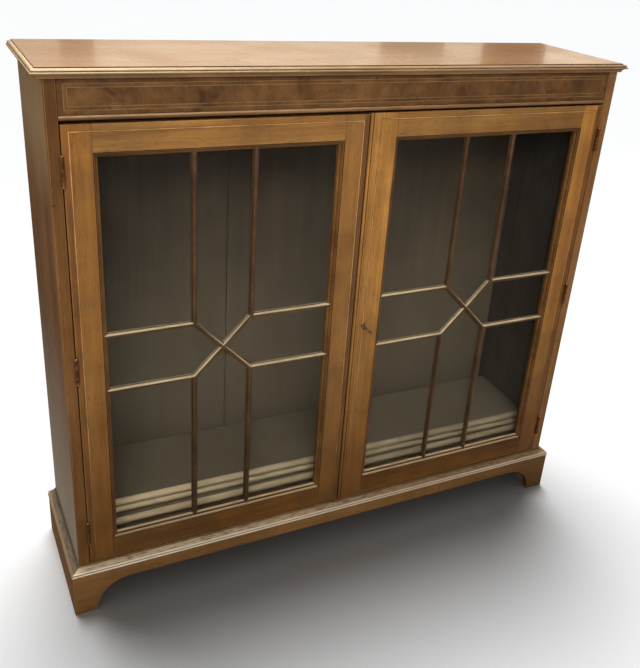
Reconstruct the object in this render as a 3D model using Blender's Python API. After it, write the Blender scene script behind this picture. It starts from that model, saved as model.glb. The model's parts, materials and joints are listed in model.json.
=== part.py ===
# Glazed display cabinet: an inlaid case on a bracket plinth, two doors with
# astragal glazing on butt hinges, a lock with its key, a bolt and loose shelves.
# Metres, +Z up. The front faces -Y, and the origin is on the floor, under the
# middle of the whole cabinet with its key in the lock.

import math

import bmesh
import bpy
from mathutils import Matrix, Vector

# Case
CASE_WIDTH = 1.184            # over the outer faces of the sides
CASE_DEPTH = 0.276            # front edges of the sides to the back
CASE_HEIGHT = 1.103           # floor to the top surface
SIDE_THICKNESS = 0.022
BACK_THICKNESS = 0.010
BACK_BOARD_COUNT = 3
BACK_JOINT = 0.001            # open joint between back boards
BOTTOM_THICKNESS = 0.020
BOTTOM_RISE = 0.038           # floor of the case above the plinth moulding
BASE_RAIL_DEPTH = 0.045
BASE_RAIL_LIFT = 0.004        # underside of the base rail above the arch
FIT = 0.0003                  # gap between pieces that touch

# Top board: a flat field, then a quirk, an ovolo, a fillet and a hollow
TOP_THICKNESS = 0.018
TOP_END_OVERHANG = 0.008      # flat field past the sides
TOP_FRONT_OVERHANG = 0.002    # flat field past the front
TOP_QUIRK = 0.0012
TOP_OVOLO = 0.0063
TOP_FILLET_STEP = 0.0015
TOP_FILLET_HEIGHT = 0.0025

# Frieze
FRIEZE_HEIGHT = 0.0585
FRIEZE_THICKNESS = 0.021
FRIEZE_SETBACK = 0.001
FRIEZE_BEAD_HEIGHT = 0.0075
FRIEZE_BEAD_DEPTH = 0.012
FRIEZE_BEAD_NOSE = 0.002      # bead proud of the case front

# Plinth
PLINTH_HEIGHT = 0.097         # to the underside of its moulding
PLINTH_THICKNESS = 0.0165
ARCH_HEIGHT = 0.068
FOOT_WIDTH = 0.047            # front face of a foot at the floor
FOOT_CURVE = 0.068            # run of the curve from foot to arch
MOULD_PROJECTION = 0.018
MOULD_FILLET = 0.0028
MOULD_BEAD_RADIUS = 0.0027
MOULD_COVE_HEIGHT = 0.0063
MOULD_COVE_LIP = 0.001

# Doors
DOOR_THICKNESS = 0.022
DOOR_SIDE_GAP = 0.0015
DOOR_BOTTOM_GAP = 0.002
LEFT_TOP_GAP = 0.006          # the left door has dropped a little
RIGHT_TOP_GAP = 0.004
MEETING_GAP = 0.002
STOP_GAP = 0.0005             # door back to the rebate behind it
STILE_WIDTH = 0.049
RAIL_WIDTH = 0.048
MEETING_BEAD_WIDTH = 0.0115
MEETING_BEAD_RISE = 0.004

# Glazing
SIGHT_WIDTH = 0.009           # moulded edge round the glass
SIGHT_DEPTH = 0.0085
SIGHT_QUIRK = 0.001
SIGHT_SETBACK = 0.0005
GLASS_DEPTH = 0.0128          # front of the glass behind the door face
GLASS_THICKNESS = 0.003
FILLET_WIDTH = 0.009
BAR_WIDTH = 0.012
BAR_FLAT = 0.002              # flat on the crown of a bar
BAR_SETBACK = 0.004           # crown of a bar behind the door face
KNEE = 0.058                  # saltire corner from the middle of the pane

# Shelves, lying loose on the floor of the case
SHELF_THICKNESS = 0.017
SHELF_END_GAP = 0.003
SHELF_FRONT = 0.045           # front edge of the lowest shelf
SHELF_BACK_ROOM = 0.025       # lowest shelf to the back
SHELF_SETBACK = 0.0125        # the two upper shelves, further in
SHELF_SKEW = math.radians(-0.7)

# Butt hinges
HINGE_LENGTH = 0.051
HINGE_INSET = 0.0765          # hinge middle from the end of the door
KNUCKLE_RADIUS = 0.003
KNUCKLE_COUNT = 5
PIN_RADIUS = 0.0012
PIN_HEAD_RADIUS = 0.0022
PIN_HEAD_HEIGHT = 0.0015
LEAF_THICKNESS = 0.0012
LEAF_WIDTH = 0.018

# Lock and key
LOCK_BACKSET = 0.0255         # key from the meeting edge
LOCK_EDGE_GAP = 0.002
LOCK_WIDTH = 0.046
LOCK_BELOW = 0.014            # case below and above the key
LOCK_ABOVE = 0.024
LOCK_DEPTH = 0.012
LOCK_WALL = 0.0015
LOCK_BOLT_RISE = 0.0155       # middle of the bolt above the key
LOCK_BOLT_HEIGHT = 0.009
LOCK_BOLT_THICKNESS = 0.005
LOCK_BOLT_LENGTH = 0.030
KEY_PROJECTION = 0.033        # key past the door face
KEY_SHANK_RADIUS = 0.0024
KEY_BOW_RADIUS = 0.0085
KEY_BOW_WIRE = 0.0018
KEY_BIT_REACH = 0.0075
KEY_BIT_THICKNESS = 0.002
KEY_BIT_START = 0.003         # bit behind the door back
KEY_BIT_LENGTH = 0.005
KEY_END_GAP = 0.001
KEY_TURN = math.radians(-45)  # the bow stands at this slant
KEYHOLE_CLEARANCE = 0.0008
ESCUTCHEON_WALL = 0.0013
ESCUTCHEON_DEPTH = 0.004

# Bolt on the back of the left door
BOLT_CASE_WIDTH = 0.018
BOLT_CASE_DEPTH = 0.008
BOLT_CASE_LENGTH = 0.060
BOLT_CASE_DROP = 0.010        # case below the door top
BOLT_WIDTH = 0.008
BOLT_THICKNESS = 0.004
BOLT_TIP_DROP = 0.003         # drawn bolt below the door top
BOLT_TRAVEL = 0.020
BOLT_KNOB_RADIUS = 0.004
BOLT_KNOB_LENGTH = 0.010
BOLT_TAIL = 0.006             # bolt below the middle of its knob
BOLT_KNOB_GAP = 0.001

CURVE_STEPS = 4               # facets in a quarter of a moulding
ROUND_SIDES = 12              # facets round a knuckle, pin or shank
BOW_STEPS = 16

# Places that several pieces share
HALF_WIDTH = CASE_WIDTH / 2
INNER_HALF = HALF_WIDTH - SIDE_THICKNESS
BETWEEN_SIDES = (-INNER_HALF + FIT, INNER_HALF - FIT)
FRONT_Y = (KEY_PROJECTION - CASE_DEPTH) / 2
TOP_UNDERSIDE = CASE_HEIGHT - TOP_THICKNESS
FRIEZE_FOOT = TOP_UNDERSIDE - FRIEZE_HEIGHT
DOOR_HEAD = FRIEZE_FOOT - FRIEZE_BEAD_HEIGHT
MOULD_HEIGHT = MOULD_FILLET + 2 * MOULD_BEAD_RADIUS + MOULD_COVE_HEIGHT
MOULD_TOP = PLINTH_HEIGHT + MOULD_HEIGHT
CASE_FLOOR = MOULD_TOP + BOTTOM_RISE
DOOR_FOOT = MOULD_TOP + DOOR_BOTTOM_GAP
STOP_Y = DOOR_THICKNESS + STOP_GAP
BACK_Y = CASE_DEPTH - BACK_THICKNESS
SHELF_DEPTH = BACK_Y - SHELF_FRONT - SHELF_BACK_ROOM
HINGE_X = INNER_HALF - DOOR_SIDE_GAP / 2
HINGE_Y = -(KNUCKLE_RADIUS + FIT)
SIGHT_OPENING = INNER_HALF - DOOR_SIDE_GAP - 2 * STILE_WIDTH - (MEETING_BEAD_WIDTH + MEETING_GAP) / 2


class Door:
    """Where one door's pieces go. side is -1 for the left door, 1 for the right."""

    def __init__(self, side):
        self.side = side
        self.name = "left" if side < 0 else "right"
        self.foot = DOOR_FOOT
        self.head = DOOR_HEAD - (LEFT_TOP_GAP if side < 0 else RIGHT_TOP_GAP)
        self.middle = (self.foot + self.head) / 2
        self.hinge_edge = INNER_HALF - DOOR_SIDE_GAP
        self.sight_outer = self.hinge_edge - STILE_WIDTH
        self.sight_inner = self.sight_outer - SIGHT_OPENING
        self.bead = MEETING_BEAD_WIDTH if side > 0 else 0.0
        self.meeting_edge = self.sight_inner - STILE_WIDTH - self.bead
        self.sight_foot = self.foot + RAIL_WIDTH
        self.sight_head = self.head - RAIL_WIDTH
        self.hinge_heights = (self.foot + HINGE_INSET, self.middle, self.head - HINGE_INSET)

    def across(self, first, second):
        """An X range, given as distances from the middle of the cabinet towards this door."""
        return tuple(sorted((self.side * first, self.side * second)))

    def opening(self, inset, depth):
        """Corners of the sight opening, drawn in by an inset, at a depth behind the face."""
        left, right = self.across(self.sight_inner, self.sight_outer)
        low, high = self.sight_foot + inset, self.sight_head - inset
        left, right = left + inset, right - inset
        return [(left, depth, low), (right, depth, low), (right, depth, high), (left, depth, high)]


# Outlines

def quarter_round(start, finish, steps=CURVE_STEPS):
    """Quarter of an ellipse that leaves start along its first axis."""
    points = []
    for step in range(steps + 1):
        angle = math.pi / 2 * step / steps
        points.append((start[0] + (finish[0] - start[0]) * math.sin(angle),
                       start[1] + (finish[1] - start[1]) * (1 - math.cos(angle))))
    return points


def arc(centre, radius, start, finish, steps):
    points = []
    for step in range(steps + 1):
        angle = math.radians(start + (finish - start) * step / steps)
        points.append((centre[0] + radius * math.cos(angle), centre[1] + radius * math.sin(angle)))
    return points


def nosed_section(front, back, low, high):
    """Board section in Y and Z with a half-round front edge."""
    radius = (high - low) / 2
    nose = arc((front + radius, low + radius), radius, 90, 270, 2 * CURVE_STEPS)
    return nose + [(back, low), (back, high)]


def keyhole(grow):
    """Keyhole outline in X and Z about the key, grown by a margin."""
    head = KEY_SHANK_RADIUS + KEYHOLE_CLEARANCE + grow
    half_slot = KEY_BIT_THICKNESS / 2 + KEYHOLE_CLEARANCE + grow
    slot_foot = -(KEY_BIT_REACH + KEYHOLE_CLEARANCE + grow)
    turn = math.degrees(math.asin(half_slot / head))
    outline = arc((0, 0), head, -90 + turn, 270 - turn, 2 * ROUND_SIDES // 2)
    return outline + [(-half_slot, slot_foot), (half_slot, slot_foot)]


# Shapes

def box(x_range, y_range, z_range):
    low = Vector((x_range[0], y_range[0], z_range[0]))
    high = Vector((x_range[1], y_range[1], z_range[1]))
    shape = bmesh.new()
    bmesh.ops.create_cube(shape, size=1)
    bmesh.ops.scale(shape, vec=high - low, verts=shape.verts)
    bmesh.ops.translate(shape, vec=(low + high) / 2, verts=shape.verts)
    return shape


def rod(start, finish, radius, sides=ROUND_SIDES):
    start, finish = Vector(start), Vector(finish)
    along = finish - start
    shape = bmesh.new()
    bmesh.ops.create_cone(shape, cap_ends=True, segments=sides, radius1=radius, radius2=radius,
                          depth=along.length)
    turn = along.to_track_quat("Z", "Y").to_matrix().to_4x4()
    bmesh.ops.transform(shape, matrix=Matrix.Translation((start + finish) / 2) @ turn, verts=shape.verts)
    return shape


def prism(outline, along):
    """A flat outline of points in space, extruded along a vector."""
    shape = bmesh.new()
    face = shape.faces.new([shape.verts.new(point) for point in outline])
    extruded = bmesh.ops.extrude_face_region(shape, geom=[face])["geom"]
    moved = [part for part in extruded if isinstance(part, bmesh.types.BMVert)]
    bmesh.ops.translate(shape, vec=along, verts=moved)
    bmesh.ops.recalc_face_normals(shape, faces=shape.faces)
    return shape


def loft(loops, ring=False):
    """Skin over loops with equal point counts: capped, or closed into a ring."""
    shape = bmesh.new()
    rows = [[shape.verts.new(point) for point in loop] for loop in loops]
    pairs = list(zip(rows, rows[1:]))
    if ring:
        pairs.append((rows[-1], rows[0]))
    else:
        shape.faces.new(rows[0])
        shape.faces.new(rows[-1])
    for row, after in pairs:
        for index in range(len(row)):
            following = (index + 1) % len(row)
            shape.faces.new((row[index], row[following], after[following], after[index]))
    bmesh.ops.recalc_face_normals(shape, faces=shape.faces)
    return shape


def together(shapes):
    """Several shapes in one mesh, for use as a cutter or an addition."""
    whole = bmesh.new()
    for shape in shapes:
        mesh = bpy.data.meshes.new("shape")
        shape.to_mesh(mesh)
        whole.from_mesh(mesh)
        bpy.data.meshes.remove(mesh)
    return whole


def combine(body, tool, operation):
    """Boolean of two shapes, returned as a new shape."""
    objects = []
    for shape in (body, tool):
        mesh = bpy.data.meshes.new("shape")
        shape.to_mesh(mesh)
        objects.append(bpy.data.objects.new("shape", mesh))
        bpy.context.scene.collection.objects.link(objects[-1])
    modifier = objects[0].modifiers.new("combine", "BOOLEAN")
    modifier.operation = operation
    modifier.object = objects[1]
    evaluated = objects[0].evaluated_get(bpy.context.evaluated_depsgraph_get())
    result_mesh = bpy.data.meshes.new_from_object(evaluated)
    result = bmesh.new()
    result.from_mesh(result_mesh)
    for mesh in (result_mesh, objects[0].data, objects[1].data):
        bpy.data.meshes.remove(mesh)
    return result


# Scene

def clear_scene():
    for item in list(bpy.data.objects):
        bpy.data.objects.remove(item)


def make_finish(name, color, roughness, metallic=0.0, alpha=1.0):
    material = bpy.data.materials.new(name)
    material.use_nodes = True
    shader = material.node_tree.nodes["Principled BSDF"]
    shader.inputs["Base Color"].default_value = (*color, 1.0)
    shader.inputs["Roughness"].default_value = roughness
    shader.inputs["Metallic"].default_value = metallic
    shader.inputs["Alpha"].default_value = alpha
    return material


def make_collection(name):
    collection = bpy.data.collections.new(name)
    bpy.context.scene.collection.children.link(collection)
    return collection


clear_scene()
PARTS = make_collection("display_cabinet")
FRAMES = make_collection("joint_frames")
FINISHES = {
    "door_mahogany": make_finish("door_mahogany", (0.28, 0.14, 0.05), 0.4),
    "case_mahogany": make_finish("case_mahogany", (0.15, 0.065, 0.025), 0.4),
    "flame_veneer": make_finish("flame_veneer", (0.20, 0.09, 0.035), 0.35),
    "polished_top": make_finish("polished_top", (0.24, 0.09, 0.04), 0.2),
    "back_pine": make_finish("back_pine", (0.12, 0.08, 0.05), 0.7),
    "shelf_wood": make_finish("shelf_wood", (0.35, 0.25, 0.14), 0.55),
    "window_glass": make_finish("window_glass", (0.75, 0.78, 0.74), 0.05, alpha=0.3),
    "brass": make_finish("brass", (0.45, 0.30, 0.11), 0.35, metallic=1.0),
    "steel": make_finish("steel", (0.35, 0.32, 0.28), 0.4, metallic=1.0),
}


def make_frame(name, place, parent=None):
    """An empty for the pieces of one moving body, on its joint axis."""
    frame = bpy.data.objects.new(name, None)
    frame.empty_display_size = 0.05
    frame.parent = parent
    frame.location = Vector(place) - (whereabouts(parent) if parent else Vector())
    FRAMES.objects.link(frame)
    return frame


def whereabouts(frame):
    """A frame's place, measured from the case front on the floor."""
    place = Vector()
    while frame.parent:
        place = place + frame.location
        frame = frame.parent
    return place


def make_mesh(name, shape):
    mesh = bpy.data.meshes.new(name)
    shape.to_mesh(mesh)
    shape.free()
    mesh.shade_smooth()
    mesh.set_sharp_from_angle(angle=math.radians(30))
    return mesh


def add_object(name, mesh, finish, frame, place=(0, 0, 0)):
    piece = bpy.data.objects.new(name, mesh)
    piece.parent = frame
    piece.location = place
    if not mesh.materials:
        mesh.materials.append(FINISHES[finish])
    PARTS.objects.link(piece)
    return piece


def add_piece(name, shape, finish, frame):
    """A piece drawn from the case front on the floor, with its origin at its frame."""
    bmesh.ops.translate(shape, vec=-whereabouts(frame), verts=shape.verts)
    return add_object(name, make_mesh(name, shape), finish, frame)


# Case

def hinge_recesses(doors, outwards):
    """Cutters for the hinge leaves of one side, into the door or into the case side."""
    floor = FIT / 2 + LEAF_THICKNESS + FIT
    cutters = []
    for height in doors.hinge_heights:
        half = HINGE_LENGTH / 2 + FIT
        x_range = doors.across(HINGE_X, HINGE_X + outwards * floor)
        y_range = (-KNUCKLE_RADIUS, LEAF_WIDTH + FIT)
        cutters.append(box(x_range, y_range, (height - half, height + half)))
    return together(cutters)


def add_side(door, case):
    side = box(door.across(INNER_HALF, HALF_WIDTH), (0, CASE_DEPTH), (0, TOP_UNDERSIDE - FIT))
    side = combine(side, hinge_recesses(door, outwards=1), "DIFFERENCE")
    add_piece(f"side_{door.name}", side, "case_mahogany", case)


def add_top(case):
    quirk = (TOP_QUIRK, TOP_QUIRK)
    ovolo_end = (TOP_QUIRK + TOP_OVOLO, TOP_QUIRK + TOP_OVOLO)
    fillet_reach = ovolo_end[0] + TOP_FILLET_STEP
    fillet_foot = ovolo_end[1] + TOP_FILLET_HEIGHT
    edge = [(0, 0), (0, TOP_QUIRK)] + quarter_round(quirk, ovolo_end)
    edge.append((fillet_reach, ovolo_end[1]))
    edge += quarter_round((fillet_reach, fillet_foot), (0, TOP_THICKNESS))
    loops = []
    for reach, drop in edge:
        end = HALF_WIDTH + TOP_END_OVERHANG + reach
        front = -(TOP_FRONT_OVERHANG + reach)
        height = CASE_HEIGHT - drop
        loops.append([(-end, front, height), (end, front, height),
                      (end, CASE_DEPTH, height), (-end, CASE_DEPTH, height)])
    add_piece("top_board", loft(loops), "polished_top", case)


def add_run(name, section, finish, case):
    """A section in Y and Z, run between the sides."""
    outline = [(BETWEEN_SIDES[0], y, z) for y, z in section]
    run = prism(outline, (BETWEEN_SIDES[1] - BETWEEN_SIDES[0], 0, 0))
    add_piece(name, run, finish, case)


def add_frieze(case):
    y_range = (FRIEZE_SETBACK, FRIEZE_SETBACK + FRIEZE_THICKNESS)
    rail = box(BETWEEN_SIDES, y_range, (FRIEZE_FOOT + FIT, TOP_UNDERSIDE - FIT))
    add_piece("frieze_rail", rail, "flame_veneer", case)
    bead = nosed_section(-FRIEZE_BEAD_NOSE, FRIEZE_BEAD_DEPTH, DOOR_HEAD, FRIEZE_FOOT)
    add_run("frieze_bead", bead, "door_mahogany", case)


def add_base(case):
    underside = ARCH_HEIGHT + BASE_RAIL_LIFT
    ledge = CASE_FLOOR - BOTTOM_THICKNESS - FIT
    section = [(0, underside), (0, MOULD_TOP), (STOP_Y, MOULD_TOP), (STOP_Y, ledge),
               (BASE_RAIL_DEPTH, ledge), (BASE_RAIL_DEPTH, underside)]
    add_run("base_rail", section, "case_mahogany", case)
    floor = box(BETWEEN_SIDES, (STOP_Y, BACK_Y - FIT), (CASE_FLOOR - BOTTOM_THICKNESS, CASE_FLOOR))
    add_piece("bottom_board", floor, "case_mahogany", case)


def add_back(case):
    left, right = BETWEEN_SIDES
    pitch = (right - left + BACK_JOINT) / BACK_BOARD_COUNT
    for index in range(BACK_BOARD_COUNT):
        start = left + index * pitch
        board = box((start, start + pitch - BACK_JOINT), (BACK_Y, CASE_DEPTH),
                    (ARCH_HEIGHT, TOP_UNDERSIDE - FIT))
        add_piece(f"back_board_{index + 1}", board, "back_pine", case)


def plinth_outline(end, depth):
    """Front plinth board, with its arch, at one depth: end is half its length there."""
    arch_half = HALF_WIDTH + PLINTH_THICKNESS - FOOT_WIDTH
    curve = quarter_round((arch_half - FOOT_CURVE, ARCH_HEIGHT), (arch_half, 0), 2 * CURVE_STEPS)
    outline = [(end, 0), (end, PLINTH_HEIGHT), (-end, PLINTH_HEIGHT), (-end, 0)]
    outline += [(-x, z) for x, z in reversed(curve)] + curve
    return [(x, depth, z) for x, z in outline]


def plinth_mould_section():
    """Projection and height of the moulding: fillet, bead and cove, from its foot up."""
    bead_centre = (MOULD_PROJECTION - MOULD_BEAD_RADIUS, MOULD_FILLET + MOULD_BEAD_RADIUS)
    cove_foot = (bead_centre[0], MOULD_HEIGHT - MOULD_COVE_HEIGHT)
    section = [(FIT, FIT), (MOULD_PROJECTION, FIT), (MOULD_PROJECTION, MOULD_FILLET)]
    section += arc(bead_centre, MOULD_BEAD_RADIUS, -60, 90, CURVE_STEPS)[:-1]
    section += quarter_round(cove_foot, (MOULD_COVE_LIP, MOULD_HEIGHT))
    section.append((FIT, MOULD_HEIGHT))
    return [(out, PLINTH_HEIGHT + height) for out, height in section]


def add_plinth(case):
    front = loft([plinth_outline(HALF_WIDTH + PLINTH_THICKNESS - FIT, -PLINTH_THICKNESS),
                  plinth_outline(HALF_WIDTH, -FIT)])
    add_piece("plinth_front", front, "case_mahogany", case)
    section = plinth_mould_section()
    ends = [[(side * (HALF_WIDTH + out - FIT), -out, z) for out, z in section] for side in (-1, 1)]
    add_piece("plinth_mould_front", loft(ends), "door_mahogany", case)
    for side, name in ((-1, "left"), (1, "right")):
        faces = []
        for out in (FIT, PLINTH_THICKNESS):
            x = side * (HALF_WIDTH + out)
            faces.append([(x, FIT - out, 0), (x, CASE_DEPTH, 0),
                          (x, CASE_DEPTH, PLINTH_HEIGHT), (x, FIT - out, PLINTH_HEIGHT)])
        add_piece(f"plinth_{name}", loft(faces), "case_mahogany", case)
        mitre = [(side * (HALF_WIDTH + out), FIT - out, z) for out, z in section]
        back = [(side * (HALF_WIDTH + out), CASE_DEPTH, z) for out, z in section]
        add_piece(f"plinth_mould_{name}", loft([mitre, back]), "door_mahogany", case)


def add_shelves(case):
    half = INNER_HALF - SHELF_END_GAP
    for index, name in enumerate(("lower", "middle", "upper")):
        low = CASE_FLOOR + FIT + index * (SHELF_THICKNESS + FIT)
        front = SHELF_FRONT + (SHELF_SETBACK if index else 0.0)
        section = nosed_section(front, front + SHELF_DEPTH, low, low + SHELF_THICKNESS)
        shelf = prism([(-half, y, z) for y, z in section], (2 * half, 0, 0))
        if index:
            middle = Vector((0, front + SHELF_DEPTH / 2, 0))
            bmesh.ops.rotate(shelf, cent=middle, matrix=Matrix.Rotation(SHELF_SKEW, 3, "Z"),
                             verts=shelf.verts)
        add_piece(f"shelf_{name}", shelf, "shelf_wood", case)


# Doors

def sight_inset(depth):
    """How far the moulded edge reaches into the opening at a depth behind the face."""
    if depth >= SIGHT_DEPTH:
        return SIGHT_WIDTH
    share = (depth - SIGHT_SETBACK) / (SIGHT_DEPTH - SIGHT_SETBACK)
    return SIGHT_QUIRK + (SIGHT_WIDTH - SIGHT_QUIRK) * math.sin(math.acos(1 - share))


def bar_outline(door, half_bar, depth):
    """The glazing pattern at one depth: half_bar is half a bar's width there."""
    inset = sight_inset(depth) + FIT
    reach_x = SIGHT_OPENING / 2 - inset
    reach_z = (door.sight_head - door.sight_foot) / 2 - inset
    slant = half_bar * math.sqrt(2)
    near, far, bend = KNEE - half_bar, KNEE + half_bar, KNEE + slant - half_bar
    arm = [(bend, near), (reach_x, near), (reach_x, far), (far, far), (far, reach_z), (near, reach_z),
           (near, bend)]
    upper = [(slant, 0)] + arm + [(0, slant)] + [(-x, z) for x, z in reversed(arm)]
    outline = upper + [(-x, -z) for x, z in upper]
    centre_x = door.side * (door.sight_inner + door.sight_outer) / 2
    centre_z = (door.sight_foot + door.sight_head) / 2
    return [(centre_x + x, depth, centre_z + z) for x, z in outline]


def add_glazing(door, frame):
    back = GLASS_DEPTH - FIT
    edge = quarter_round((SIGHT_QUIRK, SIGHT_SETBACK), (SIGHT_WIDTH, SIGHT_DEPTH))
    section = [(FIT, back), (FIT, SIGHT_SETBACK)] + edge + [(SIGHT_WIDTH, back)]
    moulding = loft([door.opening(inset, depth) for inset, depth in section], ring=True)
    add_piece(f"{door.name}_sight_moulding", moulding, "door_mahogany", frame)

    crown = quarter_round((BAR_FLAT / 2, BAR_SETBACK), (BAR_WIDTH / 2, SIGHT_DEPTH))
    levels = crown + [(BAR_WIDTH / 2, back)]
    bars = loft([bar_outline(door, half_bar, depth) for half_bar, depth in levels])
    add_piece(f"{door.name}_glazing_bars", bars, "door_mahogany", frame)

    glass_back = GLASS_DEPTH + GLASS_THICKNESS
    corners = door.opening(FIT, 0)
    glass = box((corners[0][0], corners[2][0]), (GLASS_DEPTH, glass_back), (corners[0][2], corners[2][2]))
    add_piece(f"{door.name}_glass", glass, "window_glass", frame)

    strip = [(FIT, glass_back + FIT), (FILLET_WIDTH, glass_back + FIT),
             (FILLET_WIDTH / 2, DOOR_THICKNESS), (FIT, DOOR_THICKNESS)]
    fillet = loft([door.opening(inset, depth) for inset, depth in strip], ring=True)
    add_piece(f"{door.name}_glass_fillet", fillet, "door_mahogany", frame)


def add_door_frame(door, frame):
    through = (0, DOOR_THICKNESS)
    height = (door.foot, door.head)
    hinge_stile = box(door.across(door.sight_outer, door.hinge_edge), through, height)
    hinge_stile = combine(hinge_stile, hinge_recesses(door, outwards=-1), "DIFFERENCE")
    add_piece(f"{door.name}_hinge_stile", hinge_stile, "door_mahogany", frame)

    meeting_stile = box(door.across(door.meeting_edge, door.sight_inner), through, height)
    if door.bead:
        outline = lock_outline(door, ESCUTCHEON_WALL + FIT, -DOOR_THICKNESS)
        meeting_stile = combine(meeting_stile, prism(outline, (0, 3 * DOOR_THICKNESS, 0)), "DIFFERENCE")
        add_meeting_bead(door, frame)
    add_piece(f"{door.name}_meeting_stile", meeting_stile, "door_mahogany", frame)

    between = door.across(door.sight_inner + FIT, door.sight_outer - FIT)
    for name, z_range in (("top_rail", (door.sight_head, door.head)),
                          ("bottom_rail", (door.foot, door.sight_foot))):
        add_piece(f"{door.name}_{name}", box(between, through, z_range), "door_mahogany", frame)


def add_meeting_bead(door, frame):
    """Two reeds on the meeting edge."""
    reed = door.bead / 4
    outline = []
    for centre in (3 * reed, reed):
        half_round = arc((0, 0), 1, 0, 180, 2 * CURVE_STEPS)
        outline += [(door.meeting_edge + centre + reed * x, -FIT - (MEETING_BEAD_RISE - FIT) * z)
                    for x, z in half_round]
    middle = len(outline) // 2
    del outline[middle]
    bead = prism([(door.side * x, y, door.foot) for x, y in outline], (0, 0, door.head - door.foot))
    add_piece(f"{door.name}_meeting_bead", bead, "door_mahogany", frame)


# Hinges

def knuckle_spans(first):
    """Z spans of every other knuckle, counted from the foot of the hinge."""
    pitch = HINGE_LENGTH / KNUCKLE_COUNT
    spans = []
    for index in range(first, KNUCKLE_COUNT, 2):
        low = index * pitch - HINGE_LENGTH / 2
        spans.append((low + FIT / 2, low + pitch - FIT / 2))
    return spans


def make_leaf(side, first):
    """A leaf about its pin, at the middle of the hinge. side is the way it lies from the pin."""
    spans = knuckle_spans(first)
    plate_front = FIT - HINGE_Y
    plate_back = LEAF_WIDTH - HINGE_Y
    half = HINGE_LENGTH / 2
    outline = [(plate_back, half), (plate_back, -half), (plate_front, -half)]
    for low, high in spans:
        outline += [(plate_front, low), (0, low), (0, high), (plate_front, high)]
    outline.append((plate_front, half))
    inner = side * FIT / 2
    plate = prism([(inner, y, z) for y, z in outline], (side * LEAF_THICKNESS, 0, 0))
    bmesh.ops.remove_doubles(plate, verts=plate.verts, dist=FIT / 10)
    knuckles = together([rod((0, 0, low), (0, 0, high), KNUCKLE_RADIUS) for low, high in spans])
    leaf = combine(plate, knuckles, "UNION")
    bore = rod((0, 0, -HINGE_LENGTH), (0, 0, HINGE_LENGTH), PIN_RADIUS + FIT)
    return combine(leaf, bore, "DIFFERENCE")


def make_pin():
    half = HINGE_LENGTH / 2 + FIT
    pin = rod((0, 0, -half - PIN_HEAD_HEIGHT / 2), (0, 0, half + PIN_HEAD_HEIGHT / 2), PIN_RADIUS)
    for way in (-1, 1):
        ends = sorted((way * half, way * (half + PIN_HEAD_HEIGHT)))
        head = rod((0, 0, ends[0]), (0, 0, ends[1]), PIN_HEAD_RADIUS)
        pin = combine(pin, head, "UNION")
    return pin


def add_hinges(door, frame, case):
    case_leaf = make_mesh(f"{door.name}_case_leaf", make_leaf(door.side, first=0))
    door_leaf = make_mesh(f"{door.name}_door_leaf", make_leaf(-door.side, first=1))
    pin = make_mesh(f"{door.name}_hinge_pin", make_pin())
    for height, level in zip(door.hinge_heights, ("lower", "middle", "upper")):
        on_case = (door.side * HINGE_X, HINGE_Y, height)
        name = f"{door.name}_{level}_hinge"
        add_object(f"{name}_case_leaf", case_leaf, "brass", case, on_case)
        add_object(f"{name}_pin", pin, "brass", case, on_case)
        add_object(f"{name}_door_leaf", door_leaf, "brass", frame, (0, 0, height))


# Lock, key and bolt

def lock_place(door):
    return door.side * (door.meeting_edge + LOCK_BACKSET), door.middle


def lock_outline(door, grow, depth):
    x, z = lock_place(door)
    return [(x + across, depth, z + up) for across, up in keyhole(grow)]


def lock_bolt_ranges(door, clearance):
    """X, Y and Z ranges of the drawn lock bolt, grown by a clearance."""
    start = door.meeting_edge + LOCK_EDGE_GAP
    middle_y = DOOR_THICKNESS + LOCK_DEPTH / 2
    middle_z = lock_place(door)[1] + LOCK_BOLT_RISE
    half_y = LOCK_BOLT_THICKNESS / 2 + clearance
    half_z = LOCK_BOLT_HEIGHT / 2 + clearance
    return ((start, start + LOCK_BOLT_LENGTH), (middle_y - half_y, middle_y + half_y),
            (middle_z - half_z, middle_z + half_z))


def add_lock(door, frame, bolt_frame):
    z = lock_place(door)[1]
    start = door.meeting_edge + LOCK_EDGE_GAP
    finish = start + LOCK_WIDTH
    front, back = DOOR_THICKNESS + FIT, DOOR_THICKNESS + LOCK_DEPTH
    low, high = z - LOCK_BELOW, z + LOCK_ABOVE
    case = box((start, finish), (front, back), (low, high))
    hollow = box((start + LOCK_WALL, finish - LOCK_WALL), (front - LOCK_WALL, back - LOCK_WALL),
                 (low + LOCK_WALL, high - LOCK_WALL))
    case = combine(case, hollow, "DIFFERENCE")
    slot_y, slot_z = lock_bolt_ranges(door, FIT)[1:]
    slot = box((start - LOCK_WALL, start + 2 * LOCK_WALL), slot_y, slot_z)
    add_piece("lock_case", combine(case, slot, "DIFFERENCE"), "steel", frame)

    add_piece("lock_bolt", box(*lock_bolt_ranges(door, 0)), "brass", bolt_frame)

    liner = [lock_outline(door, ESCUTCHEON_WALL, 0), lock_outline(door, 0, 0),
             lock_outline(door, 0, ESCUTCHEON_DEPTH),
             lock_outline(door, ESCUTCHEON_WALL, ESCUTCHEON_DEPTH)]
    add_piece("escutcheon", loft(liner, ring=True), "brass", frame)


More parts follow.
